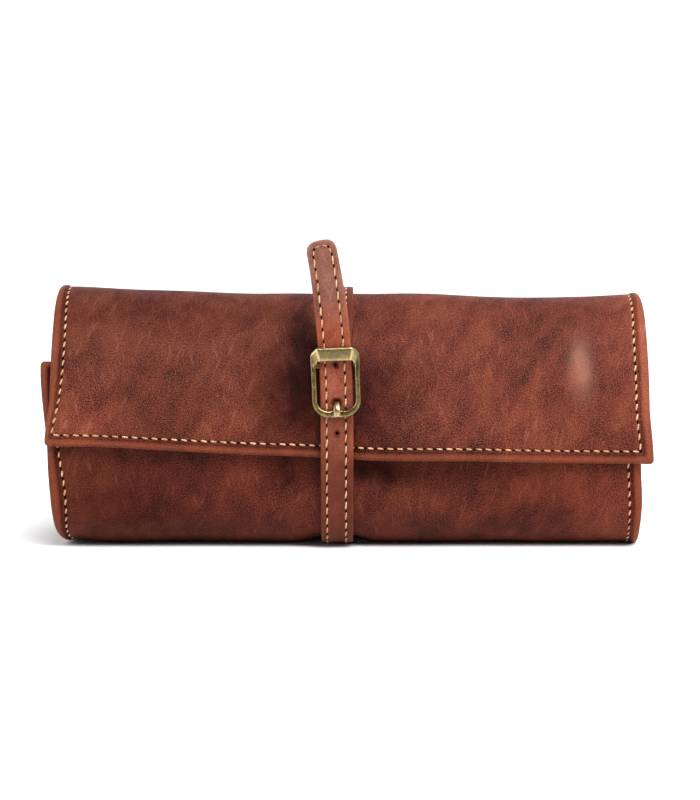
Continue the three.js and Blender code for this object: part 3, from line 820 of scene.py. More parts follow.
def holes(places, alongs, normals, turn, long, wide, lift=0.1):
    """Pricked holes as thin dark lenses at the surface, longer across the seam: their dark is painted shade
    standing in for the hole's depth.
    """
    along = unit(alongs)
    across = unit(np.cross(along, normals))
    major = across * math.cos(turn) + along * math.sin(turn)
    minor = across * -math.sin(turn) + along * math.cos(turn)
    angle = round_angles(HOLE_SIDES)
    ring = major[:, None] * (long * np.cos(angle))[:, None] + minor[:, None] * (wide * np.sin(angle))[:, None]
    rim = places[:, None] + ring - normals[:, None] * 0.05
    inner = places[:, None] + ring * 0.75 + normals[:, None] * lift * 0.8
    top = places[:, None] + normals[:, None] * lift
    bottom = places[:, None] - normals[:, None] * 0.3
    points = np.concatenate([rim, inner, top, bottom], axis=1)
    faces = []
    for j in range(len(places)):
        base = (2 * HOLE_SIDES + 2) * j
        inside = base + HOLE_SIDES
        for k in range(HOLE_SIDES):
            n = (k + 1) % HOLE_SIDES
            faces.append([base + k, base + n, inside + n, inside + k])
            faces.append([inside + k, inside + n, inside + HOLE_SIDES])
            faces.append([base + n, base + k, inside + HOLE_SIDES + 1])
    return points.reshape(-1, 3), faces


def merge(parts):
    points, faces, offset = [], [], 0
    for p, f in parts:
        points.append(p)
        faces += [[v + offset for v in face] for face in f]
        offset += len(p)
    return np.concatenate(points), faces


def outward(place, s, x, side):
    """Normal of the sheet at s, x; side 1 is the outer face and -1 the inner."""
    e = 0.4
    along = place(s + e, x) - place(s - e, x)
    across = place(s, x + e) - place(s, x - e)
    return unit(np.cross(across, along)) * side


STITCH_PITCH = 4.75


def seam_run(s, x, depth, side, slant, pitch=STITCH_PITCH):
    """Stitches along a line on the sheet, with each one's s."""
    place = lambda s, x: sheet_point(s, x, depth(s, x))
    base = lambda s, x: sheet_point(s, x, 0 * s)
    line = place(s, x)
    index = run_of_holes(line, pitch)
    return {
        "s": at_index(s, index), "holes": at_index(line, index),
        "normals": unit(at_index(outward(base, s, x, side), index)), "slant": slant,
    }


fine_s = np.linspace(FLAP_INSET, SHEET_LENGTH - SEAM_INSET, 1600)
left_x, right_x = left_edge(fine_s) + left_inset(fine_s), right_edge(fine_s) - right_inset(fine_s)
low_s, high_s = np.full(600, FLAP_INSET), np.full(600, SHEET_LENGTH - SEAM_INSET)
low_x = np.linspace(left_x[0], right_x[0], 600)
high_x = np.linspace(left_x[-1], right_x[-1], 600)
sunk = lambda s, x: cover_outside(s, x) - 0.05


def inside_depth(s, x):
    """Depth of the inner face that the bobbin side of a seam lies on."""
    across = (x > pocket_left(s)) & (x < pocket_right(s))
    on_panel = across & (s > POCKET_FROM) & (s < SHEET_LENGTH - POCKET_INSET)
    return np.where(on_panel, TURNED + 0.12 + POCKET_THICKNESS, TURNED)


SIDE_SLANT, END_SLANT = 0.42, 0.2
sheet_runs = []
for s, x, slant in (
    (fine_s, left_x, SIDE_SLANT), (fine_s, right_x, SIDE_SLANT),
    (low_s, low_x, END_SLANT), (high_s, high_x, END_SLANT),
):
    sheet_runs.append(seam_run(s, x, sunk, 1, slant))
    sheet_runs.append(seam_run(s, x, inside_depth, -1, slant))
for k in range(CHANNELS):
    channel_s = np.full(300, POCKET_FROM + k * CHANNEL_PITCH + (2.2 if k == 0 else 0))
    start_x = pocket_left(channel_s[:1])[0] + 4
    channel_x = np.linspace(start_x, pocket_right(channel_s[:1])[0] - 1.5, 300)
    face = lambda s, x: pocket_face(s, x) + POCKET_THICKNESS
    sheet_runs.append(seam_run(channel_s, channel_x, face, -1, 0.1))


def stitch_pieces(kind, runs, bounds, names, finish_bend, slot_name, pitch_seed):
    """One thread piece and one piece of holes for each stretch between bounds."""
    for i, (low, high) in enumerate(bounds):
        thread_parts, hole_parts = [], []
        for r, run in enumerate(runs):
            middle = (run["s"][:-1] + run["s"][1:]) / 2
            mine = (middle >= low) & (middle < high)
            if mine.any():
                a, b = run["holes"][:-1][mine], run["holes"][1:][mine]
                n = unit(run["normals"][:-1][mine] + run["normals"][1:][mine])
                thickness = run.get("thread", THREAD)
                thread_parts.append(threads(a, b, n, run["slant"], pitch_seed + 31 * i + r, thickness))
            at = (run["s"] >= low) & (run["s"] < high)
            if at.any():
                alongs = np.gradient(run["holes"], axis=0)[at]
                turn = HOLE_TURN * np.sign(run["slant"])
                size = run.get("hole", HOLE)
                hole_parts.append(holes(run["holes"][at], alongs, run["normals"][at], turn, *size))
        for word, parts, material, slot in (
            ("thread", thread_parts, thread, "thread"), ("holes", hole_parts, stitch_hole_shade, slot_name),
        ):
            if parts:
                obj = add_mesh(f"{kind}_{word}_{names[i]}", *merge(parts), material, slot)
                finish_bend(obj, i)


def finish_seam(obj, i):
    bend_between(obj, i, lambda u: sheet_point(u, MIDLINE_X, 0.0))


sheet_bounds = list(SPANS)
sheet_bounds[0] = (SPANS[0][0] - 1, SPANS[0][1])
sheet_bounds[-1] = (SPANS[-1][0], SPANS[-1][1] + 1)
stitch_pieces("seam", sheet_runs, sheet_bounds, SLATS, finish_seam, "cover_leather", 1)

# ---- the strap ----
# u runs along the strap: it is s where the strap lies on the sheet, and goes on from there
# up the front as the distance along the free half.
CORNER = (-11.45, 28.0, 28.3)
BILLET_BACK = FLAP_FRONT - GAP
BEND_Z = 45.85
reach = (BILLET_BACK - CORNER[0], BEND_Z - CORNER[1])
leave = math.atan2(reach[1], reach[0]) + math.acos(CORNER[2] / math.hypot(*reach))
CORNER_START = STARTS[7][0]
U_LEAVE = CORNER_START + FRONT_CORNER * (1.5 * math.pi - leave)
TANGENT = (CORNER[0] + CORNER[2] * math.cos(leave), CORNER[1] + CORNER[2] * math.sin(leave))
SLOPE = math.hypot(BILLET_BACK - TANGENT[0], BEND_Z - TANGENT[1])
U_BEND = U_LEAVE + SLOPE
U_TIP = U_BEND + STRAP_TOP - BEND_Z
ROUNDED = 6.0


def u_at(z):
    return U_BEND + z - BEND_Z


# The strap's tint at heights up its free half: painted shade low down, below the flap's edge, lighter through
# the buckle, and a pale painted sheen toward the tip.
STRAP_PAINTED_SHADE_AND_SHEEN = (
    (30, (0.47, 0.40, 0.40)), (44, (0.56, 0.50, 0.52)), (56, (0.84, 0.86, 0.95)),
    (66, (0.9, 0.9, 0.98)), (80, (1.22, 1.32, 1.42)), (106, (1.16, 1.02, 1.02)),
    (126, (1.02, 1.60, 2.3)), (150, (1.02, 1.6, 2.2)),
)
strap_leather = leather(
    "strap_leather", STRAP_TONES, grain=0.36, streaks=0.7, roughness=(0.34, 0.46), edge_tone=1.25,
    shine=0.07, along=[(u_at(z) * MM, tint) for z, tint in STRAP_PAINTED_SHADE_AND_SHEEN],
)


def strap_lean(z):
    """The free half leans to the left as it rises."""
    return -8.2 * (np.clip(z - 60, 0, None) / 90) ** 2.3


def strap_at(u):
    """Middle of the strap's inner face."""
    u = np.asarray(u, float)
    lying = sheet_point(np.minimum(u, U_LEAVE), STRAP_X + 0 * u, -GAP + 0 * u)
    t = np.clip((u - U_LEAVE) / SLOPE, 0, 1)
    y = TANGENT[0] + (BILLET_BACK - TANGENT[0]) * t
    z = TANGENT[1] + (BEND_Z - TANGENT[1]) * t + np.maximum(u - U_BEND, 0)
    # The fold at the flap's edge is eased over a short length.
    b = np.clip((u - U_BEND + ROUNDED) / (2 * ROUNDED), 0, 1)
    down = np.array([(BILLET_BACK - TANGENT[0]), (BEND_Z - TANGENT[1])]) / SLOPE * ROUNDED
    eased_y = BILLET_BACK - down[0] * (1 - b) ** 2
    eased_z = BEND_Z - down[1] * (1 - b) ** 2 + ROUNDED * b**2
    near = (b > 0) & (b < 1)
    y, z = np.where(near, eased_y, y), np.where(near, eased_z, z)
    free = np.stack([STRAP_X + strap_lean(z), y, z], -1)
    return np.where((u > U_LEAVE)[..., None], free, lying)


def strap_frame(u):
    """Inner-face point, direction along, width direction and outward normal."""
    u = np.asarray(u, float)
    e = 0.5
    along = unit(strap_at(np.minimum(u + e, U_TIP)) - strap_at(u - e))
    outward_from = unit(np.cross(np.array([1.0, 0, 0]), along))
    across = unit(np.cross(along, outward_from))
    return strap_at(u), along, across, unit(np.cross(across, along))


HALF = STRAP_WIDTH / 2 + 0.15
TIP_ROUND = 7.25
STITCH_INSET = 3.6


def half_width(u):
    """Half the strap's width without the rounding of its tip."""
    return HALF - (HALF - TIP_ROUND) * smooth(u_at(112), u_at(144), u)


TIP_SHAPE = 3.0


def tip_share(u):
    """How much of the width is left toward the rounded tip."""
    t = np.clip(1 - (U_TIP - u) / TIP_ROUND, 0, 1)
    return (1 - t**TIP_SHAPE) ** (1 / TIP_SHAPE)


def strap_edge_distance(u, w):
    half = half_width(u)
    from_side = half - np.abs(w)
    rise = np.clip(1 - (U_TIP - u) / TIP_ROUND, 0, None)
    out = (rise**TIP_SHAPE + (np.abs(w) / half) ** TIP_SHAPE) ** (1 / TIP_SHAPE)
    return np.where(rise > 0, np.minimum(from_side, TIP_ROUND * (1 - out)), from_side)


def rounded_rim(d, radius=0.85):
    return radius - np.sqrt(np.clip(radius**2 - (radius - np.clip(d, 0, radius)) ** 2, 0, None))


# Places across the strap, from one edge to the middle, then as shares of its half width.
FROM_EDGE = [0.0, 0.05, 0.18, 0.4, 0.7, 1.0, 1.6, 2.3, 2.9, 3.25, 3.6, 3.95, 4.3, 5.0, 6.2, 7.85]
SECTION = np.array(FROM_EDGE) / FROM_EDGE[-1]
SECTION = np.concatenate([SECTION - 1, (1 - SECTION[:-1])[::-1]])


def strap_inset(u, side=1):
    """The strap's stitches run nearer its edge at the tip, and on its left side."""
    left = np.where(np.asarray(side) < 0, 0.65, 0.0)
    return STITCH_INSET - 0.75 * smooth(u_at(118), u_at(143), u) - left * smooth(u_at(142), u_at(120), u)


def strap_groove(d, u, side):
    return np.exp(-(((d - strap_inset(u, side)) / 0.5) ** 2))


def strap_grid(u):
    """Loops round the strap's section at each u."""
    inner, along, across, normal = strap_frame(u)
    share = np.maximum(tip_share(u), 0.02)
    w = SECTION[None, :] * (half_width(u) * share)[:, None]
    d = np.maximum(strap_edge_distance(u[:, None], w), 0)
    domed = 0.12 * smooth(0, 2.5, d)
    dip = strap_groove(d, u[:, None], w)
    top = STRAP_THICKNESS - 0.1 - rounded_rim(d) + domed - 0.3 * dip
    bottom = rounded_rim(d) * 0.8 + 0.12 * dip
    face = lambda h: inner[:, None] + across[:, None] * w[..., None] + normal[:, None] * h[..., None]
    # The two plies meet in a fine line round the edge.
    waist = np.full((len(u), 1), STRAP_THICKNESS / 2)
    pinch = w[:, [-1]] - 0.1
    side = lambda sign: (inner[:, None] + across[:, None] * (sign * pinch)[..., None]
                         + normal[:, None] * waist[..., None])
    points = np.concatenate([face(top), side(1), face(bottom)[:, ::-1], side(-1)], axis=1)
    # Lighter on the rounded edges, partly a painted highlight.
    edge = smooth(1.3, 0.4, d)
    ones = np.ones((len(u), 1))
    flat = np.stack([w + 500, np.broadcast_to(u[:, None], w.shape), 0 * w], -1) * MM
    sides = lambda sign: np.stack([sign * ones * 9 + 500, u[:, None], 0 * ones], -1) * MM
    # Shade is painted along the stitch lines and round the edge where the plies meet.
    return points, {
        "sheet": np.concatenate([flat, sides(1), flat[:, ::-1], sides(-1)], axis=1),
        "edge": np.concatenate([edge * 0.6, ones * 0.2, edge[:, ::-1] * 0.6, ones * 0.2], axis=1),
        "painted_groove_shade": np.concatenate([dip * 0.55, ones, 0 * d, ones], axis=1),
    }


def tube_faces(count, loop):
    """Sides of a tube, each end closed with one face."""
    sides = side_quads(count, loop).tolist()
    first = list(range(loop))[::-1]
    return sides + [first, [(count - 1) * loop + k for k in range(loop)]]


CHAPE_FROM = 62.0
front_middle = U_LEAVE + 11
billet_from, billet_to = u_at(56), u_at(95)
strap_stops = [CHAPE_FROM, front_middle, billet_from, billet_to, U_TIP]
strap_stops += [m for m in PIECE_STOPS if 70 < m < 300]
tip_rows = [U_TIP - TIP_ROUND * (1 - math.sin(math.radians(a))) for a in (0, 15, 30, 42, 54, 64, 73, 80, 86)]
strap_u = steps(sorted(set(strap_stops + tip_rows)), 1.5)
strap_points, strap_fields = strap_grid(strap_u)
strap_normals = loop_normals(strap_points)
# For each strap piece: its two bodies, the stretch of u it covers, the ends of its bend, and the
# hinge. The billet's middle piece rides on one body.
STRAP_JOINS = (
    [(SLATS[i], SLATS[i + 1], SPANS[i], MIDDLES[i], MIDDLES[i + 1], SLAT_EDGES[i + 1]) for i in range(1, 10)]
    + [("front_1", "front_2", (MIDDLES[10], front_middle), MIDDLES[10], front_middle, SLAT_EDGES[11]),
       ("front_2", "billet", (front_middle, billet_from), front_middle, billet_from, U_BEND),
       ("billet", None, (billet_from, billet_to), 0, 0, 0),
       ("billet", "strap_end", (billet_to, U_TIP), billet_to, u_at(116), u_at(104))]
)
STRAP_JOINS[0] = (*STRAP_JOINS[0][:2], (CHAPE_FROM, MIDDLES[2]), CHAPE_FROM, MIDDLES[2], 70)
strap_names = ["chape"] + SLATS[2:10] + ["front_1", "front_2", "billet", "tip"]


def finish_strap(obj, i):
    """Rides a piece of strap on its body when it has only one; otherwise finds the ends of its bend, leaves
    them unused and bakes its transform.
    """
    a, b, _, low, high, hinge = STRAP_JOINS[i]
    if b is None:
        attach(obj, a)
        return
    start = strap_at(np.array([max(low, hinge - BEND_REACH) + 1.0]))[0]
    end = strap_at(np.array([min(high, hinge + BEND_REACH) - 1.0]))[0]
    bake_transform(obj)


def punch(obj, cutters):
    """Cuts the cutters out of a piece, leaving real holes."""
    for index, cutter in enumerate(cutters):
        modifier = obj.modifiers.new(f"cut_{index}", "BOOLEAN")
        modifier.operation = "DIFFERENCE"
        modifier.solver = "EXACT"
        modifier.object = cutter
    bpy.context.view_layer.update()
    evaluated = obj.evaluated_get(bpy.context.evaluated_depsgraph_get())
    mesh = bpy.data.meshes.new_from_object(evaluated, preserve_all_data_layers=True,
                                           depsgraph=bpy.context.evaluated_depsgraph_get())
    obj.modifiers.clear()
    obj.data = mesh
    for cutter in cutters:
        bpy.data.objects.remove(cutter)


def plain_object(name, points, faces):
    mesh = bpy.data.meshes.new(name)
    mesh.from_pydata(((np.asarray(points) + ORIGIN) * MM).tolist(), [], [list(f) for f in faces])
    obj = bpy.data.objects.new(name, mesh)
    scene.collection.objects.link(obj)
    return obj


PUNCH_SIDES = 28


def hole_cutter(name, lean_z, z, radius, stretch):
    """A punch at height z through the strap's free half, flared at its front, on the strap's
    middle line at height lean_z."""
    x = STRAP_X + strap_lean(lean_z)
    angle = round_angles(PUNCH_SIDES)
    outer_y = BILLET_BACK - STRAP_THICKNESS
    rings = []
    for y, grow in (
        (BILLET_BACK + 2, 0.15), (BILLET_BACK - 0.5, 0), (outer_y + 0.55, 0), (outer_y + 0.1, 0.28),
        (outer_y - 0.5, 0.85),
    ):
        r = radius + grow
        across, up = x + r * np.cos(angle), z + stretch * r * np.sin(angle)
        rings.append(np.stack([across, np.full(PUNCH_SIDES, y), up], -1))
    return plain_object(name, np.concatenate(rings), tube_faces(len(rings), PUNCH_SIDES))


LOW_HOLE_Z, TONGUE_HOLE_Z, HIGH_HOLE_Z = 58.2, 73.5, 91.0
strap_pieces = {}
for i, join in enumerate(STRAP_JOINS):
    part = rows_between(strap_u, *join[2])
    faces = tube_faces(*strap_points[part].shape[:2])
    obj = add_mesh(f"strap_{strap_names[i]}_leather", strap_points[part], faces, strap_leather,
                   "strap_leather", strap_normals[part], cut_fields(strap_fields, part))
    strap_pieces[strap_names[i]] = obj
    if strap_names[i] == "billet":
        punch(obj, [
            hole_cutter("cut_low", LOW_HOLE_Z, LOW_HOLE_Z, 0.85, 1.1),
            hole_cutter("cut_worn", TONGUE_HOLE_Z, TONGUE_HOLE_Z - 0.6, 1.75, 0.95),
            hole_cutter("cut_high", HIGH_HOLE_Z, HIGH_HOLE_Z, 0.85, 1.1),
        ])
    finish_strap(obj, i)


# Stitches down both sides of the strap and round its tip.
def strap_line(sign, start=CHAPE_FROM + 1):
    u = np.linspace(start, U_TIP - TIP_ROUND, 2600)
    w = sign * (half_width(u) - strap_inset(u, sign))
    return u, w


def strap_run(u, w, slant, side=1, pitch=5.7):
    inner, along, across, normal = strap_frame(u)
    height = STRAP_THICKNESS - 0.22 if side > 0 else 0.0
    line = inner + across * w[:, None] + normal * height
    index = run_of_holes(line, pitch)
    return {"s": at_index(u, index), "holes": at_index(line, index),
            "normals": unit(at_index(normal, index)) * side, "slant": slant, "thread": 0.38,
            "hole": (0.95, 0.72)}


round_w = half_width(np.array([U_TIP]))[0] - strap_inset(U_TIP)
angles = np.radians(np.linspace(0, 180, 60))
squared = lambda value: np.sign(value) * np.abs(value) ** 0.75
round_u = U_TIP - TIP_ROUND + (TIP_ROUND - 2.2) * squared(np.sin(angles))
strap_runs = [
    strap_run(*strap_line(-1), 0.24), strap_run(*strap_line(1), 0.24),
    strap_run(round_u, round_w * squared(np.cos(angles)), 0.05, 1, 4.4),
    strap_run(*strap_line(-1, u_at(50)), 0.1, -1), strap_run(*strap_line(1, u_at(50)), 0.1, -1),
]
strap_bounds = [join[2] for join in STRAP_JOINS]
strap_bounds[-1] = (strap_bounds[-1][0], U_TIP + 1)
stitch_pieces("strap", strap_runs, strap_bounds, strap_names, finish_strap, "strap_leather", 900)

# The chape: the inner ply turns round the bar and lies back on itself.
PLY = 1.5


def ribbon(centres, width, thickness):
    """A flat strip with rounded edges along centres of (y, z), across X at STRAP_X: its points,
    faces and sheet coordinates."""
    centres = np.asarray(centres, float)
    along = unit(np.gradient(centres, axis=0))
    normal = np.stack([-along[:, 1], along[:, 0]], -1)
    half, r = width / 2, thickness / 2
    angle = np.radians([90, 60, 30, 0, -30, -60, -90])
    right = [(half - r + r * math.cos(a), r * math.sin(a)) for a in angle]
    section = right + [(-w, h) for w, h in reversed(right)]
    at_side = lambda w: np.full((len(centres), 1), STRAP_X + w)
    points = np.stack([np.hstack([at_side(w), centres + h * normal]) for w, h in section], axis=1)
    loop = len(section)
    faces = tube_faces(len(centres), loop)
    length = np.concatenate([[0], np.cumsum(np.linalg.norm(np.diff(centres, axis=0), axis=1))])
    flat = np.stack([np.broadcast_to(700 + np.array([w for w, _ in section]), points.shape[:2]),
                     np.broadcast_to(length[:, None], points.shape[:2]), np.zeros(points.shape[:2])], -1) * MM
    return points, faces, flat


def curve_through(places, count):
    """Catmull-Rom curve through places."""
    p = np.asarray(places, float)
    p = np.concatenate([[2 * p[0] - p[1]], p, [2 * p[-1] - p[-2]]])
    out = []
    for t in np.linspace(0, len(p) - 3 - 1e-9, count):
        k = int(t)
        f = t - k
        a, b, c, e = p[k:k + 4]
        square, cube = 2 * a - 5 * b + 4 * c - e, 3 * b - a - 3 * c + e
        out.append(0.5 * (2 * b + (c - a) * f + square * f**2 + cube * f**3))
    return np.array(out)


def sheet_yz(s, n):
    return sheet_point(s, STRAP_X, n)[1:]


loop_radius = BAR_RADIUS + 0.15 + PLY / 2
loop_places = [sheet_yz(64.0, -GAP - 0.8), sheet_yz(58.0, -GAP - 0.75), (BAR[1] + 1.35, BAR[2] + 3.6)]
loop_places += [(BAR[1] + loop_radius * math.cos(a), BAR[2] + loop_radius * math.sin(a))
                for a in np.radians([10, -30, -70, -110, -150, -190])]
loop_places += [(BAR[1] - 0.9, BAR[2] + 4.0), sheet_yz(57.0, -GAP - 2.5), sheet_yz(64.0, -GAP - 2.35)]
points, faces, flat = ribbon(curve_through(loop_places, 90), STRAP_WIDTH - 0.4, PLY)
chape_loop = add_mesh("chape_loop", points, faces, strap_leather, "strap_leather", None,
                      {"sheet": flat.reshape(-1, 3)})
slot_low, slot_high = BAR - [2.2, 6.0, 5.0], BAR + [2.2, 6.0, 3.2]
corners = np.array([[x, y, z] for x in (0, 1) for y in (0, 1) for z in (0, 1)])
slot_box = plain_object("cut_slot", slot_low + corners * (slot_high - slot_low),
                        [(0, 1, 3, 2), (4, 6, 7, 5), (0, 4, 5, 1), (2, 3, 7, 6), (0, 2, 6, 4), (1, 5, 7, 3)])
punch(chape_loop, [slot_box])
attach(chape_loop, "flap_upper")

# ---- the buckle ----
BUCKLE_HALF = 11.7
RAIL = 2.6
BOTTOM_RAIL = 3.3
FRAME_BOTTOM, FRAME_TOP = 66.0, 99.4
KEEPER = 6.5
PLATE_BACK = BILLET_BACK - STRAP_THICKNESS - GAP
LEAN_POINT = (-6.2, 68.0)
LEAN = math.radians(2.1)


def rounded_outline(half, low, high, low_radius, high_radius, cut, counts):
    """Outline of the frame as (x, z), from the bottom left; cut flattens the top corners."""
    n_bottom, n_low, n_side, n_high, n_top = counts

    def corner(cx, cz, r, a, b, n, flat=0.0):
        share = np.linspace(0, 1, n, endpoint=False)[:, None]
        t = np.radians(a + (b - a) * share[:, 0])
        ends = [np.array([math.cos(math.radians(v)), math.sin(math.radians(v))]) for v in (a, b)]
        chord = ends[0] * (1 - share) + ends[1] * share
        return np.array([cx, cz]) + r * ((1 - flat) * np.stack([np.cos(t), np.sin(t)], -1) + flat * chord)

    def line(a, b, n):
        t = np.linspace(0, 1, n, endpoint=False)[:, None]
        return np.array(a) * (1 - t) + np.array(b) * t

    return np.concatenate([
        line((-half + low_radius, low), (half - low_radius, low), n_bottom),
        corner(half - low_radius, low + low_radius, low_radius, -90, 0, n_low),
        line((half, low + low_radius), (half, high - high_radius), n_side),
        corner(half - high_radius, high - high_radius, high_radius, 0, 90, n_high, cut),
        line((half - high_radius, high), (-half + high_radius, high), n_top),
        corner(-half + high_radius, high - high_radius, high_radius, 90, 180, n_high, cut),
        line((-half, high - high_radius), (-half, low + low_radius), n_side),
        corner(-half + low_radius, low + low_radius, low_radius, 180, 270, n_low),
    ])


counts = (60, 14, 30, 14, 60)
outer = rounded_outline(BUCKLE_HALF, FRAME_BOTTOM, FRAME_TOP, 7.6, 3.8, 0.35, counts)
opening = (BUCKLE_HALF - RAIL, FRAME_BOTTOM + BOTTOM_RAIL, FRAME_TOP - KEEPER)
inner = rounded_outline(*opening, 5.0, 2.3, 0.1, counts)
for outline in (outer, inner):
    outline[:, 1] += 0.6 * (outline[:, 0] / BUCKLE_HALF) ** 2 * smooth(76, 68, outline[:, 1])
middle = (outer + inner) / 2
# The band's flat face ends in a bevel each side, then the shoulders fall to the rails.
in_band = smooth(88.5, 93.5, middle[:, 1])
across = np.abs(middle[:, 0])
band_height = np.interp(across, [0, 7.5, 7.9, 10.0, 12], [3.3, 3.3, 3.1, 1.7, 1.4])
rail_height = 2.35 + 0.15 * np.cos((middle[:, 1] - 80) / 9)
height = rail_height * (1 - in_band) + band_height * in_band
bottom = smooth(72.5, 68.5, middle[:, 1])
notch = smooth(3.05, 2.75, across) * bottom
height = height + 0.1 * bottom - 0.95 * notch
flatness = 2.9 + 4.0 * in_band * smooth(9.5, 7.5, across) + 0.6 * notch
v = 0.5 - 0.5 * np.cos(np.pi * np.linspace(0, 1, 19))
crown = np.clip(1 - np.abs(2 * v[None] - 1) ** flatness[:, None], 0, None) ** (1 / flatness[:, None])
base = 0.45
front = base + (height[:, None] - base) * crown
back_v = v[::-1][1:-1]
back = 0.22 * (np.abs(2 * back_v - 1) ** 4)
plan = lambda share: inner[:, None] * (1 - share)[None, :, None] + outer[:, None] * share[None, :, None]
front_plan, back_plan = plan(v), plan(back_v)
back_y = np.broadcast_to(PLATE_BACK - back, back_plan.shape[:2])
ring = np.concatenate([
    np.stack([front_plan[..., 0], PLATE_BACK - front, front_plan[..., 1]], -1),
    np.stack([back_plan[..., 0], back_y, back_plan[..., 1]], -1),
], axis=1)
stations, loop = ring.shape[:2]
frame_faces = side_quads(stations, loop, joined=True).tolist()
frame_points = ring.reshape(-1, 3) + [STRAP_X, 0, 0]
# Worn bright along the outer and inner bevels and at the ends of the band's flat face.
bevel = np.exp(-(((v[None] - 0.9) / 0.07) ** 2)) + 0.7 * np.exp(-(((v[None] - 0.12) / 0.07) ** 2))
band_end = np.exp(-(((across - 8.0) / 0.45) ** 2)) * in_band
front_wear = bevel * (1 - 0.6 * in_band[:, None]) + band_end[:, None] + 0.3 * in_band[:, None]
back_wear = np.zeros((stations, loop - len(v)))
rubbed = np.concatenate([np.clip(front_wear, 0, 1), back_wear], axis=1).ravel()


def bevelled_block(low, high, bevel):
    """A block with rounded edges, as points and faces."""
    bm = bmesh.new()
    bmesh.ops.create_cube(bm, size=1.0)
    for vert in bm.verts:
        vert.co = [low[j] + (vert.co[j] + 0.5) * (high[j] - low[j]) for j in range(3)]
    bmesh.ops.bevel(bm, geom=bm.edges[:] + bm.verts[:], offset=bevel, segments=3, profile=0.5, affect="EDGES")
    bm.normal_update()
    points = np.array([list(vert.co) for vert in bm.verts])
    faces = [[vert.index for vert in face.verts] for face in bm.faces]
    bm.free()
    return points, faces


lug_back = BAR[1] + BAR_RADIUS + 1.2
parts = [(frame_points, frame_faces)]
for side in (-1, 1):
    x = STRAP_X + side * (BUCKLE_HALF - RAIL / 2)
    parts.append(bevelled_block((x - RAIL / 2 + 0.05, PLATE_BACK - 1.2, BAR[2] - 2.4),
                                (x + RAIL / 2 - 0.05, lug_back, BAR[2] + 6.0), 0.6))
points, faces = merge(parts)


def lean_buckle(points):
    """The buckle hangs a little out of line, its top to the left."""
    x, z = points[:, 0] - LEAN_POINT[0], points[:, 2] - LEAN_POINT[1]
    out = points.copy()
    out[:, 0] = LEAN_POINT[0] + x * math.cos(LEAN) - z * math.sin(LEAN)
    out[:, 2] = LEAN_POINT[1] + z * math.cos(LEAN) + x * math.sin(LEAN)
    return out


edge = np.concatenate([rubbed, np.full(len(points) - len(rubbed), 0.1)])
buckle = add_mesh("buckle_body_frame", lean_buckle(points), faces, brass, "brass", None, {"edge": edge})
buckle.data.set_sharp_from_angle(angle=math.radians(40))

# The bar, with its rounded ends inside the lugs.
BAR_SIDES = 24
bar_x = np.array([-11.3, -11.2, -11.0, -10.8, -9.0, 0.0, 9.0, 10.8, 11.0, 11.2, 11.3])
bar_r = np.array([0.6, 0.9, 1.05, 1.1, 1.1, 1.1, 1.1, 1.1, 1.05, 0.9, 0.6])
angle = round_angles(BAR_SIDES)
bar_points = np.stack([
    np.broadcast_to(BAR[0] + bar_x[:, None], (len(bar_x), BAR_SIDES)),
    BAR[1] + bar_r[:, None] * np.cos(angle), BAR[2] + bar_r[:, None] * np.sin(angle)], -1)
bar_faces = tube_faces(len(bar_x), BAR_SIDES)
bar = add_mesh("buckle_pin_bar", lean_buckle(bar_points.reshape(-1, 3)), bar_faces, brass, "brass")

# The tongue: a ring on the bar and a blade through the hole that rests in the notch.
BLADE_SIDES = 20
EYE_STEPS, EYE_SIDES = 32, 12
front_y = PLATE_BACK - 1.5
tongue_places = [
    (BAR[1] - 1.2, BAR[2] - 1.9),
    (BILLET_BACK + 1.1, TONGUE_HOLE_Z + 6.5),
    (BILLET_BACK + 0.95, TONGUE_HOLE_Z + 3.2),
    (BILLET_BACK - 0.5, TONGUE_HOLE_Z + 0.9),
    (BILLET_BACK - STRAP_THICKNESS - 0.4, TONGUE_HOLE_Z - 1.2),
    (front_y - 0.55, TONGUE_HOLE_Z - 3.6),
    (front_y - 0.8, TONGUE_HOLE_Z - 6.2),
    (front_y - 0.7, FRAME_BOTTOM + 0.75),
]
line = curve_through(tongue_places, 60)
along = unit(np.gradient(line, axis=0))
normal = np.stack([along[:, 1], -along[:, 0]], -1)
t = np.linspace(0, 1, len(line))
half_w = np.interp(t, [0, 0.4, 0.6, 0.9, 1], [1.5, 1.6, 1.68, 1.65, 1.5])
half_t = np.interp(t, [0, 0.5, 0.75, 1], [0.7, 0.8, 0.95, 0.85])
close = np.clip((1 - t) / 0.035, 0, 1)
close = np.sqrt(np.clip(1 - (1 - close) ** 2, 0.02, 1))
angle = round_angles(BLADE_SIDES)
super_round = lambda value, power: np.sign(value) * np.abs(value) ** power
w = super_round(np.cos(angle), 0.75)[None] * (half_w * close)[:, None]
h = super_round(np.sin(angle), 0.85)[None] * (half_t * close)[:, None]
blade = np.stack([STRAP_X + w, line[:, :1] + h * normal[:, :1], line[:, 1:] + h * normal[:, 1:]], -1)
ring_angle = round_angles(EYE_STEPS)
tube = round_angles(EYE_SIDES)
radius = BAR_RADIUS + 0.15 + 0.6
ring_r = radius + 0.6 * super_round(np.sin(tube), 0.7)
ring_x = 1.5 * super_round(np.cos(tube), 0.7)
eye = np.stack([
    np.broadcast_to(STRAP_X + ring_x, (EYE_STEPS, EYE_SIDES)),
    BAR[1] + ring_r * np.cos(ring_angle)[:, None], BAR[2] + ring_r * np.sin(ring_angle)[:, None]], -1)
eye_faces = side_quads(EYE_STEPS, EYE_SIDES, joined=True).tolist()
blade_faces = tube_faces(len(line), BLADE_SIDES)
points, faces = merge([(blade.reshape(-1, 3), blade_faces), (eye.reshape(-1, 3), eye_faces)])
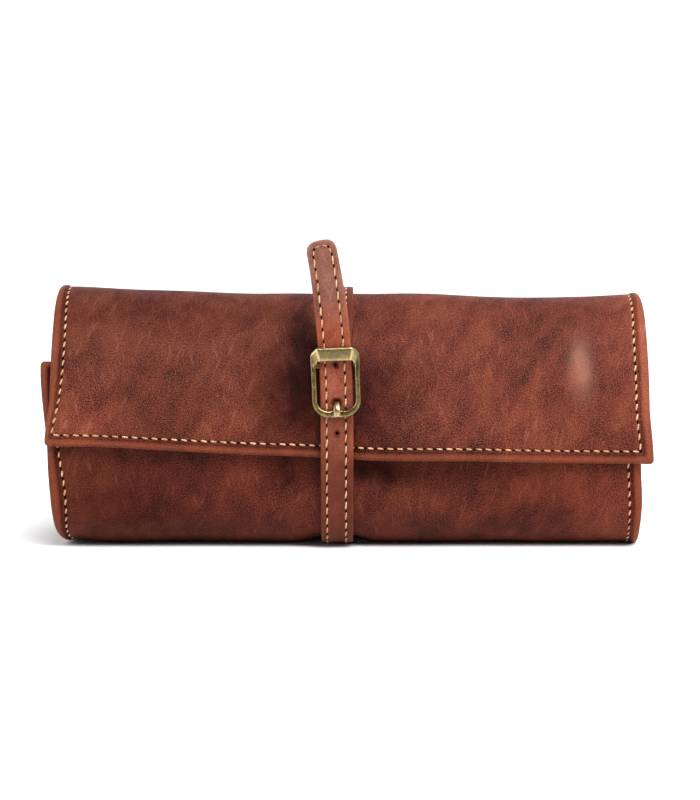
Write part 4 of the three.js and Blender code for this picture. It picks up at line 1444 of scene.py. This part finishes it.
worn = np.concatenate([np.repeat(smooth(0.45, 0.8, t) * 0.8, BLADE_SIDES), np.zeros(EYE_STEPS * EYE_SIDES)])
tongue = add_mesh("buckle_tongue_blade", points, faces, brass, "brass", None, {"edge": worn})

for obj, body in ((buckle, "buckle"), (bar, "buckle"), (tongue, "tongue")):
    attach(obj, body)

# ---- the CAD parts the pieces replace, hidden ----
# A layer's last piece replaces its last two parts, so both are hidden. The pocket panel's first piece
# is a strip that replaces none: pocket_crest_1 goes with the next piece.
for kind, spans, pieces in (
    ("cover", range(SPAN_COUNT), covers),
    ("lining", range(SPAN_COUNT), linings),
    ("pocket", pocket_spans[1:], pockets[1:]),
):
    for i, obj in zip(spans, pieces):
        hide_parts(f"{kind}_{SLATS[i]}", *([f"{kind}_front_3"] if i == LAST_SPAN else []))
for name, obj in strap_pieces.items():
    if name != "chape":
        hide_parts(f"strap_{name}")
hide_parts("strap_chape")
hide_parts("buckle_frame")
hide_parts("buckle_bar")
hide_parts("buckle_tongue")

# ---- floor, light and camera ----
floor_nodes = Nodes("floor_paper")
floor_place = floor_nodes.object_place()
floor_tone = floor_nodes.noise(floor_place, 3.0, 2)
paper = floor_nodes.ramp(floor_tone, [(0.3, (0.86, 0.86, 0.87)), (0.7, (0.9, 0.9, 0.9))])
# The paper greys off well in front of the roll, where the studio is dim.
dim = floor_nodes.range(floor_nodes.split(floor_place)["Y"], -1.1, -0.4, 0.62, 0.0)
paper = floor_nodes.mix(dim, paper, (0.2, 0.2, 0.2))
floor_nodes.set(Base_Color=paper, Roughness=0.7, Specular_IOR_Level=0.2)
floor_mesh = bpy.data.meshes.new("floor")
floor_mesh.from_pydata([(-9, -9, 0), (9, -9, 0), (9, 9, 0), (-9, 9, 0)], [], [(0, 1, 2, 3)])
floor_mesh.materials.append(floor_nodes.material)
floor = bpy.data.objects.new("floor", floor_mesh)
scene.collection.objects.link(floor)

ROOM_DIM, ROOM_BRIGHT = 0.18, 1.08
world = bpy.data.worlds.new("studio")
scene.world = world
world.use_nodes = True
background = world.node_tree.nodes["Background"]
sky = world.node_tree.nodes.new("ShaderNodeTexCoord")
split = world.node_tree.nodes.new("ShaderNodeSeparateXYZ")
fade = world.node_tree.nodes.new("ShaderNodeMapRange")
fade.interpolation_type = "SMOOTHSTEP"
for index, number in enumerate((-0.75, 0.3, ROOM_DIM, ROOM_BRIGHT), 1):
    fade.inputs[index].default_value = number
world.node_tree.links.new(sky.outputs["Generated"], split.inputs[0])
world.node_tree.links.new(split.outputs["Y"], fade.inputs[0])
world.node_tree.links.new(fade.outputs[0], background.inputs["Strength"])
background.inputs["Color"].default_value = (1.0, 1.0, 1.0, 1)


def shine_from(name, light, place, target):
    """Puts a light at place, turned toward target."""
    obj = bpy.data.objects.new(name, light)
    scene.collection.objects.link(obj)
    obj.location = place
    obj.rotation_euler = (Vector(target) - Vector(place)).to_track_quat("-Z", "Y").to_euler()


def softbox(name, place, target, size, power):
    light = bpy.data.lights.new(name, "AREA")
    light.shape = "RECTANGLE"
    light.size, light.size_y = size
    light.energy = power
    shine_from(name, light, place, target)


softbox("key", (0.7, -0.75, 0.8), (0.08, 0, 0.07), (0.45, 0.45), 9.0)
softbox("left", (-1.2, -0.35, 0.5), (0, 0, 0.06), (0.4, 0.9), 5.0)
overhead = bpy.data.lights.new("overhead", "SUN")
overhead.energy = 3.1
overhead.angle = math.radians(28)
shine_from("overhead", overhead, (0.25, -0.55, 1.0), (0, 0, 0))

VIEW_DISTANCE = 933.0
VIEW_ELEVATION = 6.0
VIEW_DROP = 0.463
camera_data = bpy.data.cameras.new("camera")
camera_data.lens = 83.5
camera_data.sensor_width = 36.0
camera = bpy.data.objects.new("camera", camera_data)
scene.collection.objects.link(camera)
e = math.radians(VIEW_ELEVATION)
aim = np.array([0.2, 0.0, 62.0]) + ORIGIN
place = aim + VIEW_DISTANCE * np.array([0, -math.cos(e), math.sin(e)])
camera.location = place * MM
camera.rotation_euler = (math.radians(90 - VIEW_ELEVATION + VIEW_DROP), 0, 0)
scene.camera = camera
scene.view_settings.view_transform = "Standard"
